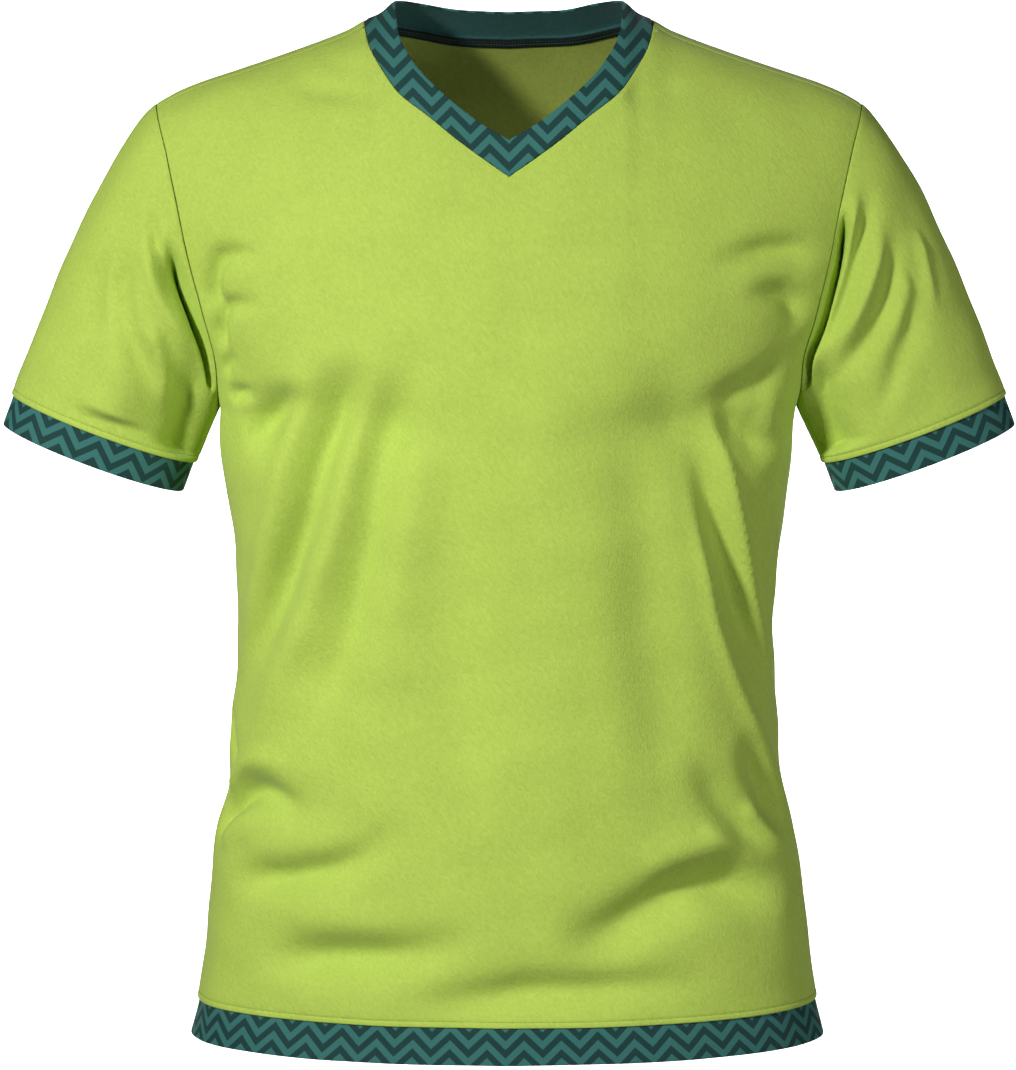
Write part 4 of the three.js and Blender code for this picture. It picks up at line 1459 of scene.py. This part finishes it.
    def build(self) -> bpy.types.Object:
        """Make the panel.

        Returns:
            The new object.
        """
        half = self.shares()
        shares = np.concatenate([-half[:0:-1], half])
        climbs = self.climbs(shares)
        lap = lap_steps()
        lap_rows = np.array([[self.hem_seam - self.trunk.armpit + step.away] for step in lap])
        lap_climb = np.repeat(lap_rows, len(shares), axis=1)
        rows = np.vstack([lap_climb, climbs])
        grid = np.repeat(shares[None, :], len(rows), axis=0)
        points = self.at(grid, rows)
        depth = np.array([step.depth for step in lap])[:, None, None]
        points[: len(lap)] -= self.facing_at(grid[: len(lap)], lap_climb) * depth
        top = self.top_line(shares, points[-1])
        sides = [self.side_line(side, rows, points) for side in (-1, 1)]
        seam = seam_steps()
        above = np.stack([top.row(step) for step in seam])
        corners = [self.corner(side, seam) for side in (-1, 1)]
        left = np.concatenate([np.stack([sides[0].row(step) for step in seam[::-1]], axis=1), corners[0]])
        right = np.concatenate([np.stack([sides[1].row(step) for step in seam], axis=1), corners[1]])
        whole = np.concatenate([left, np.concatenate([points, above]), right], axis=1)
        flat = laid_flat(whole)
        flat[..., 0] -= flat[:, [flat.shape[1] // 2], 0]
        piece = cloth_mesh(f"{self.facing.value}_jersey", whole, flat, (0, -1 if self.front else 1, 0))
        # the inner face takes the darker copy of the jersey, painted shade inside the shirt
        thicken(piece, self.thickness, wrong_side=1)
        dress(piece, self.finishes.jersey, self.finishes.jersey_inside_painted_shade)
        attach(piece, "root")
        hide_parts(f"{self.facing.value}_panel")
        return piece

    def top_line(self, shares: Array, inside: Array) -> Line:
        """Line of the neck and shoulder seams.

        Args:
            shares: Signed share of each column.
            inside: Points of the row below the seam.

        Returns:
            The line, from left to right.
        """
        climb = self.top(shares)
        points = self.at(shares, climb)
        outward = self.facing_at(shares, climb)
        wanted = seam_steps()[0].away
        return Line(points, mitred(points, outward, inside), outward, draw_in(points, inside, wanted))

    def side_line(self, side: int, rows: Array, points: Array) -> Line:
        """Line of the side seam and the armhole's seam above it.

        Args:
            side: -1 for the left, 1 for the right.
            rows: Climb of each row and column.
            points: Points of the same rows and columns.

        Returns:
            The line, from the lower edge up.
        """
        climb = rows[:, 0 if side < 0 else -1]
        inside = points[:, 0 if side < 0 else -1]
        ends = np.full_like(climb, float(side))
        line = self.at(ends, climb)
        around = self.trunk.armhole_around(self.front, np.maximum(climb, 0))
        outward = np.where((climb > 0)[:, None], armhole_outward(around), self.facing_at(ends, climb))
        lap = lap_steps()
        depth = np.zeros_like(climb)
        depth[: len(lap)] = [step.depth for step in lap]
        line = line - outward * depth[:, None]
        wanted = seam_steps()[0].away
        scale = draw_in(line, inside, wanted)
        folded = 1 - self.lap_scale * ease(depth[: len(lap)], *self.lap_depths)
        scale[: len(lap)] = np.minimum(scale[: len(lap)], folded)
        facing = self.facing_at(ends, climb)
        return Line(line, mitred(line, facing, inside), outward, scale)

    def corner(self, side: int, seam: Sequence[Step]) -> Array:
        """Corner between the shoulder seam and the armhole's seam.

        Args:
            side: -1 for the left, 1 for the right.
            seam: Rows of the seams' edges.

        Returns:
            Rows and columns of points.
        """
        climb = np.array([self.shoulder, self.shoulder - self.corner_climb])
        ends = np.array([float(side), float(side)])
        tip, below = self.at(ends, climb)
        beside = self.at(np.array([side * self.corner_share]), climb[:1])[0]
        down, along = unit(below - tip), unit(beside - tip)
        sine = float(np.linalg.norm(np.cross(down, along)))
        outward = armhole_outward(self.trunk.armhole_around(self.front, climb[:1]))[0]
        corner = np.empty((len(seam), len(seam), 3))
        for i, upper in enumerate(seam):
            for j, outer in enumerate(seam):
                sunk = max(upper.depth, outer.depth)
                corner[i, j] = tip + (down * upper.away + along * outer.away) / sine - outward * sunk
        return corner if side > 0 else corner[:, ::-1]


def hem_seam_height() -> float:
    """Height at which the panels end over the hem band, from the solid of the front panel."""
    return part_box("front_panel")[0][2] / MM


def front_neck_share(trunk: Trunk) -> float:
    """Share of the way to the armhole at which the front's neckline meets the shoulder seam."""
    turn, climb = trunk.place(np.array(FRONT_NECK[-1].seam_x), np.array(FRONT_NECK[-1].seam_z))
    return float(turn / trunk.armhole_turn(np.sin(lean_of(climb))))


@dataclass
class SleeveCloth:
    """Jersey of one sleeve, from its armhole's seam to the folded edge over the cuff band.

    First is the distance of its first row from the armhole's seam.
    """

    form: Sleeve
    finishes: Finishes
    columns: int = 260
    rows: int = 84
    first: float = 2.4
    thickness: float = 0.7
    facing_from: float = 0.02

    def build(self, name: str, node: str) -> bpy.types.Object:
        """Make the sleeve's cloth.

        Args:
            name: Name of the piece.
            node: The solid that it stands for.

        Returns:
            The new object.
        """
        form = self.form
        around = np.linspace(0, FULL, self.columns + 1)
        chord = form.chord(around)
        lap = lap_steps()[::-1]
        reach = lap[0].away
        start = self.first / (form.leave * chord)
        end = 1 - reach / (form.arrive * chord)
        share = np.linspace(0, 1, self.rows)[:, None]
        down = start + (end - start) * share
        points = form.point(np.broadcast_to(around, down.shape), down)
        edge = form.trunk.armhole(form.side, around)
        edge = edge + np.array([form.side * form.seam_gap, 0, 0])
        outward = armhole_outward(around)
        facing = form.outward(form.point, around, np.full_like(around, self.facing_from))
        line = Line(edge, mitred(edge, facing, points[0], True), outward, np.ones(len(around)))
        seam = np.stack([line.row(step) for step in seam_steps()[::-1]])
        lap_down = 1 - np.array([[step.away] for step in lap[1:]]) / (form.arrive * chord)
        wide = np.broadcast_to(around, lap_down.shape)
        fold = form.point(wide, lap_down)
        depth = np.array([step.depth for step in lap[1:]])[:, None, None]
        fold = fold - form.outward(form.point, wide, lap_down) * depth
        whole = np.concatenate([seam, points, fold])
        whole[:, -1] = whole[:, 0]
        middle = form.outward(form.point, np.array([HALF]), np.array([0.5]))[0]
        piece = cloth_mesh(name, whole, laid_flat(whole), middle)
        thicken(piece, self.thickness)
        dress(piece, self.finishes.jersey)
        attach(piece, "root")
        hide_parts(node)
        return piece


@dataclass
class Band:
    """A knit band that is folded double: how its cross-section goes round its free edge."""

    depth: float = 1.75
    thickness: float = 1.6
    face_spacing: float = 2.4

    def section(self, top: float, bottom: float) -> list[Step]:
        """Cross-section, once round.

        Args:
            top: Distance of the hidden edge above the line where the band starts to show.
            bottom: Distance of the free edge below that line.

        Returns:
            Steps down the outer face, round the free edge and up the inner face, back to the
            first. Away is the distance above the line.
        """
        half = self.thickness / 2
        face = [float(away) for away in steps(top, -bottom + half, self.face_spacing)]
        edge = rolled(half, ROUND_EDGE, -bottom, self.depth)
        outer = [Step(away, self.depth) for away in face]
        inner = [Step(away, self.depth + self.thickness) for away in face[::-1]]
        return [*outer, *edge, *inner, outer[0]]


@dataclass
class HemBand:
    """Zigzag band round the hem."""

    trunk: Trunk
    finishes: Finishes
    columns: int = 420
    hidden: float = 9.0
    periods: int = 42
    samples: int = 1440
    band: Band = field(default_factory=Band)

    def build(self) -> bpy.types.Object:
        """Make the hem band.

        Returns:
            The new object.
        """
        seam = hem_seam_height()
        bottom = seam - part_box("hem_band")[0][2] / MM
        section = self.band.section(self.hidden, bottom)
        dense = np.linspace(-HALF, HALF, self.samples)
        ring = self.trunk.point(dense, np.full_like(dense, seam - self.trunk.armpit))
        travelled = along_rows(ring[None])[0]
        turns = np.interp(np.linspace(0, travelled[-1], self.columns + 1), travelled, dense)
        climbs = np.array([[seam - self.trunk.armpit + step.away] for step in section])
        turn = np.broadcast_to(turns, (len(section), len(turns)))
        climb = np.broadcast_to(climbs, turn.shape)
        points = self.trunk.point(turn, climb)
        outward = self.trunk.outward(self.trunk.point, turn, climb)
        points = points - outward * np.array([step.depth for step in section])[:, None, None]
        points[:, -1] = points[:, 0]
        pattern = ZigzagBand()
        across = np.linspace(-0.5, 0.5, len(turns)) * self.periods * pattern.period
        flat = np.stack([np.broadcast_to(across, turn.shape),
                         np.broadcast_to([[step.away] for step in section], turn.shape)], axis=-1)
        piece = cloth_mesh("hem_zigzag_band", points, flat, (0, -1, 0),
                           backs=(len(section) // 2, len(section)))
        dress(piece, self.finishes.zigzag, self.finishes.inner_band)
        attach(piece, "root")
        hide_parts("hem_band")
        return piece


@dataclass
class CuffBand:
    """Zigzag band round one cuff."""

    form: Sleeve
    finishes: Finishes
    columns: int = 180
    hidden: float = 8.0
    width: float = 22.0
    periods: int = 14
    samples: int = 1440
    band: Band = field(default_factory=Band)

    def build(self, name: str, node: str) -> bpy.types.Object:
        """Make the cuff band.

        Args:
            name: Name of the piece.
            node: The solid that it stands for.

        Returns:
            The new object.
        """
        form = self.form
        section = self.band.section(self.hidden, self.width)
        dense = np.linspace(0, FULL, self.samples)
        travelled = along_rows(form.point(dense, np.ones_like(dense))[None])[0]
        stations = np.interp(np.linspace(0, travelled[-1], self.columns + 1), travelled, dense)
        away = np.array([[step.away] for step in section])
        around = np.broadcast_to(stations, (len(section), len(stations)))
        down = np.where(away > 0, 1 - away / (form.arrive * form.chord(stations)), 1 - away)
        points = form.point(around, down)
        outward = form.outward(form.point, around, np.minimum(down, 1))
        points = points - outward * np.array([step.depth for step in section])[:, None, None]
        points[:, -1] = points[:, 0]
        across = np.linspace(0, 1, len(stations)) * self.periods * ZigzagBand().period
        flat = np.stack([np.broadcast_to(across, around.shape), np.broadcast_to(away, around.shape)], -1)
        middle = form.outward(form.point, np.array([HALF]), np.array([1.0]))[0]
        piece = cloth_mesh(name, points, flat, middle, backs=(len(section) // 2, len(section)))
        dress(piece, self.finishes.zigzag, self.finishes.inner_band)
        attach(piece, "root")
        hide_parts(node)
        return piece


@dataclass
class NeckBand:
    """Zigzag neckband, folded double, one loop from the centre front round the neck.

    Crown is how far it stands proud of the trunk. Pattern_turns is the height at which its
    zigzag turns over the shoulder, and under is how its inner face is tucked in at the seam.
    """

    trunk: Trunk
    finishes: Finishes
    columns: int = 360
    samples: int = 240
    shoulder_samples: int = 30
    thickness: float = 1.6
    crown: float = 0.3
    face_rows: int = 10
    face_margin: float = 2.0
    rim_margin: float = 1.6
    pattern_turns: float = 13.0
    under: tuple[Step, ...] = (Step(1.2, 1.6), Step(1.1, 3.0))

    def half(self) -> tuple[Array, Array]:
        """Seam and free edge of the right half, from the centre front to the centre back.

        Returns:
            Pairs of turn and climb along the seam, and the same along the free edge. The turn is
            from the centre front or the centre back, whichever is nearer, and the climb goes on
            past 1 behind the shoulder line.
        """
        run = np.linspace(0, 1, self.samples)
        ends = []
        for part in ("seam", "edge"):
            front = self.trunk.place(read(FRONT_NECK, "run", f"{part}_x", run),
                                     read(FRONT_NECK, "run", f"{part}_z", run))
            back = self.trunk.place(read(BACK_NECK, "run", f"{part}_x", run[::-1]),
                                    read(BACK_NECK, "run", f"{part}_z", run[::-1]))
            share = np.linspace(0, 1, self.shoulder_samples)[1:-1]
            over_turn = front[0][-1] + (back[0][0] - front[0][-1]) * share
            over_climb = front[1][-1] + (2 - back[1][0] - front[1][-1]) * share
            turn = np.concatenate([front[0], over_turn, back[0]])
            climb = np.concatenate([front[1], over_climb, 2 - back[1]])
            ends.append(np.stack([turn, climb], axis=-1))
        return ends[0], ends[1]

    def loop(self) -> tuple[Array, Array]:
        """Seam and free edge of the whole loop, evenly spaced, its last place on its first.

        Returns:
            Places along the seam, and places along the free edge.
        """
        seam, edge = self.half()
        middle = self.trunk.point(*self.on_trunk((seam + edge) / 2))
        travelled = along_rows(middle[None])[0]
        even = np.linspace(0, travelled[-1], self.columns // 2 + 1)
        loops = []
        for places in (seam, edge):
            right = np.stack([np.interp(even, travelled, column) for column in places.T], axis=-1)
            loops.append(np.vstack([right, (right * np.array([-1, 1]))[-2::-1]]))
        return loops[0], loops[1]

    def on_trunk(self, places: Array) -> tuple[Array, Array]:
        """Turn and climb on the trunk of the loop's places.

        Args:
            places: Pairs of turn and climb, as half gives them.

        Returns:
            The turn from the centre front, and the climb.
        """
        turn, climb = places[..., 0], places[..., 1]
        back_turn = np.where(turn < 0, -1.0, 1.0) * (HALF - np.abs(turn))
        return np.where(climb > 1, back_turn, turn), np.where(climb > 1, 2 - climb, climb)

    def pattern_height(self, points: Array, behind: Array) -> Array:
        """Height in the band's pattern, which goes over the shoulder and down the back unbroken."""
        over = np.minimum(self.trunk.shoulder_height(points[..., 0]), self.pattern_turns)
        return np.where(behind, 2 * over - points[..., 2], points[..., 2])

    def build(self) -> bpy.types.Object:
        """Make the neckband.

        Returns:
            The new object.
        """
        seam, edge = self.loop()
        seam_points, edge_points = (self.trunk.point(*self.on_trunk(line)) for line in (seam, edge))
        width = np.linalg.norm(seam_points - edge_points, axis=-1)
        rim = self.thickness / 2
        share = np.linspace(0, 1, self.face_rows)[:, None]
        face_width = width - rim * self.rim_margin - self.face_margin
        shares = (self.face_margin + face_width * share) / width
        face = seam + (edge - seam) * shares[..., None]
        places = self.on_trunk(face)
        points, outward = self.trunk.point(*places), self.trunk.outward(self.trunk.point, *places)
        lines = []
        for loop, line, inside in ((seam, seam_points, points[0]), (edge, edge_points, points[-1])):
            facing = self.trunk.outward(self.trunk.point, *self.on_trunk(loop))
            lines.append(Line(line, mitred(line, facing, inside, True), facing, np.ones(len(line))))
        allowance = [lines[0].row(step) for step in seam_steps()[::-1]]
        half_turn = [lines[1].row(step) for step in rolled(rim, ROUND_EDGE, depth=-self.crown)]
        inner = points - outward * (self.thickness - self.crown)
        under = [lines[0].row(step) for step in self.under]
        rows = [*allowance, *(points + outward * self.crown), *half_turn, *inner[::-1], *under,
                allowance[0]]
        whole = np.stack(rows)
        whole[:, -1] = whole[:, 0]
        first_inner = len(allowance) + len(points) + len(half_turn)
        behind = (seam[:, 1] + edge[:, 1]) / 2 > 1
        flat = np.stack([whole[..., 0], self.pattern_height(whole, behind)], axis=-1)
        piece = cloth_mesh("neck_zigzag_band", whole, flat, (0, 1, 0),
                           backs=(first_inner, len(whole)))
        dress(piece, self.finishes.zigzag, self.finishes.inner_band)
        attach(piece, "root")
        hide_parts("neckband")
        return piece


@dataclass(frozen=True)
class Stitching:
    """A row of stitches: how far apart they are and the size of the thread that shows."""

    pitch: float = 1.8
    length: float = 1.35
    width: float = 0.5
    height: float = 0.4
    rings: int = 4
    sides: int = 6

    def sew(self, name: str, path: Array, outward: Array, material: bpy.types.Material,
            slot: str) -> bpy.types.Object:
        """Sew a row of stitches along a path.

        Args:
            name: Name of the row.
            path: Points along it, in millimetres.
            outward: The way that the cloth faces at each point.
            material: The thread's finish.
            slot: Not used.

        Returns:
            The new object.
        """
        travelled = along_rows(path[None])[0]
        middles = np.arange(self.pitch / 2, travelled[-1], self.pitch)
        mesh = bmesh.new()
        for middle in middles:
            place, ahead, behind, facing = (
                Vector([np.interp(at, travelled, column) for column in grid.T])
                for at, grid in ((middle, path), (middle + self.pitch / 2, path),
                                 (middle - self.pitch / 2, path), (middle, outward))
            )
            run = (ahead - behind).normalized()
            across = facing.cross(run).normalized()
            frame_of = Matrix((run, across, run.cross(across))).transposed().to_4x4()
            size = Matrix.Diagonal((self.length / 2, self.width / 2, self.height / 2, 1))
            matrix = Matrix.Scale(MM, 4) @ Matrix.Translation(place) @ frame_of @ size
            bmesh.ops.create_uvsphere(mesh, u_segments=self.sides, v_segments=self.rings, radius=1,
                                      matrix=matrix)
        for face in mesh.faces:
            face.smooth = True
        row = finished(name, mesh)
        dress(row, material)
        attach(row, "root")
        return row


def sew_hem(trunk: Trunk, finishes: Finishes, samples: int = 1600) -> bpy.types.Object:
    """Sew the row of stitches above the folded edge of the front and back.

    Args:
        trunk: Form of the trunk.
        finishes: The materials.
        samples: Places at which the row is measured.

    Returns:
        The new object.
    """
    turn = np.linspace(-HALF, HALF, samples)
    climb = np.full_like(turn, hem_seam_height() - trunk.armpit + STITCH_LINE)
    outward = trunk.outward(trunk.point, turn, climb)
    path = trunk.point(turn, climb) - outward * STITCH_SUNK
    return Stitching().sew("hem_stitches", path, outward, finishes.lime_thread_painted_shade, "jersey")


def sew_cuff(form: Sleeve, name: str, finishes: Finishes, samples: int = 800) -> bpy.types.Object:
    """Sew the row of stitches above a sleeve's folded edge.

    Args:
        form: Form of the sleeve.
        name: Side of the shirt that it is on.
        finishes: The materials.
        samples: Places at which the row is measured.

    Returns:
        The new object.
    """
    around = np.linspace(0, FULL, samples)
    down = 1 - STITCH_LINE / (form.arrive * form.chord(around))
    outward = form.outward(form.point, around, down)
    path = form.point(around, down) - outward * STITCH_SUNK
    return Stitching().sew(f"cuff_{name}_stitches", path, outward, finishes.lime_thread_painted_shade, "jersey")


@dataclass
class NeckTape:
    """Tape that covers the back of the neckband's seam on the inside, with its two stitched rows.

    Section is its shape from its upper edge down, and stitched is how far down the rows lie.
    """

    trunk: Trunk
    finishes: Finishes
    columns: int = 200
    thickness: float = 0.6
    end: float = 0.985
    climb_probe: float = 0.03
    section: tuple[Step, ...] = (
        Step(-0.9, 3.3), Step(0.2, 3.3), Step(1.4, 2.9), Step(2.6, 2.3), Step(3.8, 1.8),
        Step(5.2, 1.45), Step(6.6, 1.3), Step(8.6, 1.25))
    stitched: tuple[float, float] = (2.0, 5.4)
    stitching: Stitching = Stitching(2.1, 1.4, 0.6, 0.35)

    def rows(self, section: Sequence[Step]) -> tuple[Array, Array]:
        """Lay rows of the tape along the back of the neck.

        Args:
            section: The rows.

        Returns:
            Rows of points, and the way that the cloth faces along them.
        """
        run = np.linspace(0, self.end, self.columns // 2 + 1)
        turn, climb = self.trunk.place(read(BACK_NECK, "run", "seam_x", run),
                                       read(BACK_NECK, "run", "seam_z", run))
        turn = np.concatenate([-(HALF - turn[:0:-1]), HALF - turn])
        climb = np.concatenate([climb[:0:-1], climb])
        line = self.trunk.point(turn, climb)
        facing = self.trunk.outward(self.trunk.point, turn, climb)
        below = self.trunk.point(turn, climb - self.climb_probe)
        seam = Line(line, mitred(line, facing, below), facing, np.ones(len(line)))
        return np.stack([seam.row(step) for step in section]), facing

    def build(self) -> list[bpy.types.Object]:
        """Make the tape and its stitches.

        Returns:
            The new objects, the tape first.
        """
        points, facing = self.rows(self.section)
        tape = cloth_mesh("neck_tape_cloth", points, laid_flat(points), (0, -1, 0))
        thicken(tape, -self.thickness)
        dress(tape, self.finishes.tape)
        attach(tape, "root")
        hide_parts("neck_tape")
        pieces = [tape]
        for count, away in enumerate(self.stitched, 1):
            depth = np.interp(away, *np.array(self.section).T) + self.thickness
            path, _ = self.rows([Step(away, depth)])
            pieces.append(self.stitching.sew(f"neck_tape_stitches_{count}", path[0], -facing,
                                             self.finishes.teal_thread, "neck_tape"))
        return pieces


# ---------------------------------------------------------------- studio


class Beam(NamedTuple):
    """A soft light: where it hangs, seen from the shirt, its size, its spread and its power.

    Azimuth is in degrees from the front, below zero to the left, and elevation and spread are in
    degrees too.
    """

    azimuth: float
    elevation: float
    distance: float
    size: float
    spread: float
    power: float


class Lamp(NamedTuple):
    """A square lamp: where it hangs and looks, its size, its spread in degrees and its power."""

    place: tuple[float, float, float]
    aim: tuple[float, float, float]
    size: float
    spread: float
    power: float


@dataclass(frozen=True)
class Studio:
    """Pale sweep, soft lights and the camera.

    The wash lights the backdrop from high behind the shirt, with a spread that stops short of it.
    The glow hangs behind the front panel, which hides it, and lifts the shade inside the neck.
    """

    elevation: float = 9.0
    distance: float = 5.5
    focal_length: float = 282.4
    sensor: float = 36.0
    clip_end: float = 100.0
    aim: tuple[float, float, float] = (-0.0007, 0.0, -0.356)
    middle: float = -0.44
    key: Beam = Beam(-37, 26, 4.5, 0.5, 30, 5.4)
    fill: Beam = Beam(48, 2, 4.0, 2.0, 40, 4.4)
    wash: Lamp = Lamp((0, 4.5, 3.0), (0, 6.4, -1.5), 3.5, 110, 420)
    glow: Lamp = Lamp((0, -0.03, -0.19), (0, 0.1, -0.05), 0.12, HALF, 0.05)
    sky: Colour = (0.95, 0.96, 1.0)
    sky_strength: float = 0.02
    floor_below: float = 0.8
    floor_reach: float = 14.0
    floor_rows: int = 90
    bend: float = 6.5
    bend_radius: float = 2.8
    paper: Colour = (0.9, 0.9, 0.9)
    paper_roughness: float = 0.9

    def build(self) -> None:
        """Set up the camera, the lights and the sweep."""
        self.camera()
        self.hang("key", self.beamed(self.key))
        self.hang("fill", self.beamed(self.fill))
        self.hang("wash", self.wash)
        self.hang("glow", self.glow).visible_camera = False
        self.sweep()
        world = bpy.data.worlds.new("studio")
        bpy.context.scene.world = world
        world.use_nodes = True
        sky = world.node_tree.nodes["Background"].inputs
        sky["Color"].default_value = (*self.sky, 1)
        sky["Strength"].default_value = self.sky_strength
        bpy.context.scene.view_settings.view_transform = "Standard"

    def camera(self) -> None:
        """Place the camera, looking a little down at the shirt."""
        data = bpy.data.cameras.new("camera")
        data.sensor_fit, data.sensor_width, data.lens = "HORIZONTAL", self.sensor, self.focal_length
        data.clip_end = self.clip_end
        angle = math.radians(self.elevation)
        aim = Vector(self.aim)
        camera = bpy.data.objects.new("camera", data)
        camera.location = aim + Vector((0, -math.cos(angle), math.sin(angle))) * self.distance
        camera.rotation_euler = (aim - camera.location).to_track_quat("-Z", "Y").to_euler()
        bpy.context.scene.collection.objects.link(camera)
        bpy.context.scene.camera = camera

    def beamed(self, beam: Beam) -> Lamp:
        """Lamp of a beam that looks at the middle of the shirt.

        Args:
            beam: The beam.

        Returns:
            The lamp.
        """
        azimuth, elevation = math.radians(beam.azimuth), math.radians(beam.elevation)
        middle = Vector((0, 0, self.middle))
        away = Vector((math.sin(azimuth) * math.cos(elevation),
                       -math.cos(azimuth) * math.cos(elevation), math.sin(elevation)))
        place = middle + away * beam.distance
        return Lamp(tuple(place), tuple(middle), beam.size, beam.spread, beam.power)

    def hang(self, name: str, lamp: Lamp) -> bpy.types.Object:
        """Hang a lamp.

        Args:
            name: Name of the light.
            lamp: The lamp.

        Returns:
            The new light.
        """
        data = bpy.data.lights.new(name, "AREA")
        data.size, data.energy, data.spread = lamp.size, lamp.power, math.radians(lamp.spread)
        light = bpy.data.objects.new(name, data)
        light.location = lamp.place
        ahead = Vector(lamp.aim) - Vector(lamp.place)
        light.rotation_euler = ahead.to_track_quat("-Z", "Y").to_euler()
        bpy.context.scene.collection.objects.link(light)
        return light

    def sweep(self) -> None:
        """Lay the floor, which curves up into the backdrop."""
        floor = cad_bounds[0][2] - self.floor_below
        mesh = bmesh.new()
        bmesh.ops.create_grid(mesh, x_segments=2, y_segments=self.floor_rows, size=self.floor_reach)
        for vertex in mesh.verts:
            along, radius = vertex.co.y, self.bend_radius
            past = min(max(along - self.bend, 0) / radius, math.pi / 2)
            rest = max(along - self.bend - radius * math.pi / 2, 0)
            level = min(along, self.bend) + radius * math.sin(past)
            vertex.co = (vertex.co.x, level, floor + radius * (1 - math.cos(past)) + rest)
        for face in mesh.faces:
            face.smooth = True
        paper = finished("studio_sweep", mesh)
        shader = Shader("studio_paper")
        shader.feed(shader.surface.inputs["Base Color"], (*self.paper, 1))
        shader.feed(shader.surface.inputs["Roughness"], self.paper_roughness)
        dress(paper, shader.material)


def main() -> None:
    """Build the shirt piece by piece."""
    logging.basicConfig(level=logging.INFO, format="%(message)s")
    Studio().build()
    finishes = make_finishes()
    trunk = Trunk()
    pieces = [Panel(trunk, Facing.FRONT, finishes).build(), Panel(trunk, Facing.BACK, finishes).build()]
    for side, name, folds in ((-1, "left", LEFT_SLEEVE_FOLDS), (1, "right", RIGHT_SLEEVE_FOLDS)):
        form = Sleeve(trunk, side, folds)
        pieces.append(SleeveCloth(form, finishes).build(f"sleeve_{name}_jersey", f"sleeve_{name}"))
        pieces.append(CuffBand(form, finishes).build(f"cuff_{name}_zigzag_band", f"cuff_band_{name}"))
        pieces.append(sew_cuff(form, name, finishes))
    pieces.append(HemBand(trunk, finishes).build())
    pieces.append(sew_hem(trunk, finishes))
    pieces.append(NeckBand(trunk, finishes).build())
    pieces.extend(NeckTape(trunk, finishes).build())
    for piece in pieces:
        log.info("%s: %d faces", piece.name, len(piece.data.polygons))


if __name__ == "__main__":
    main()
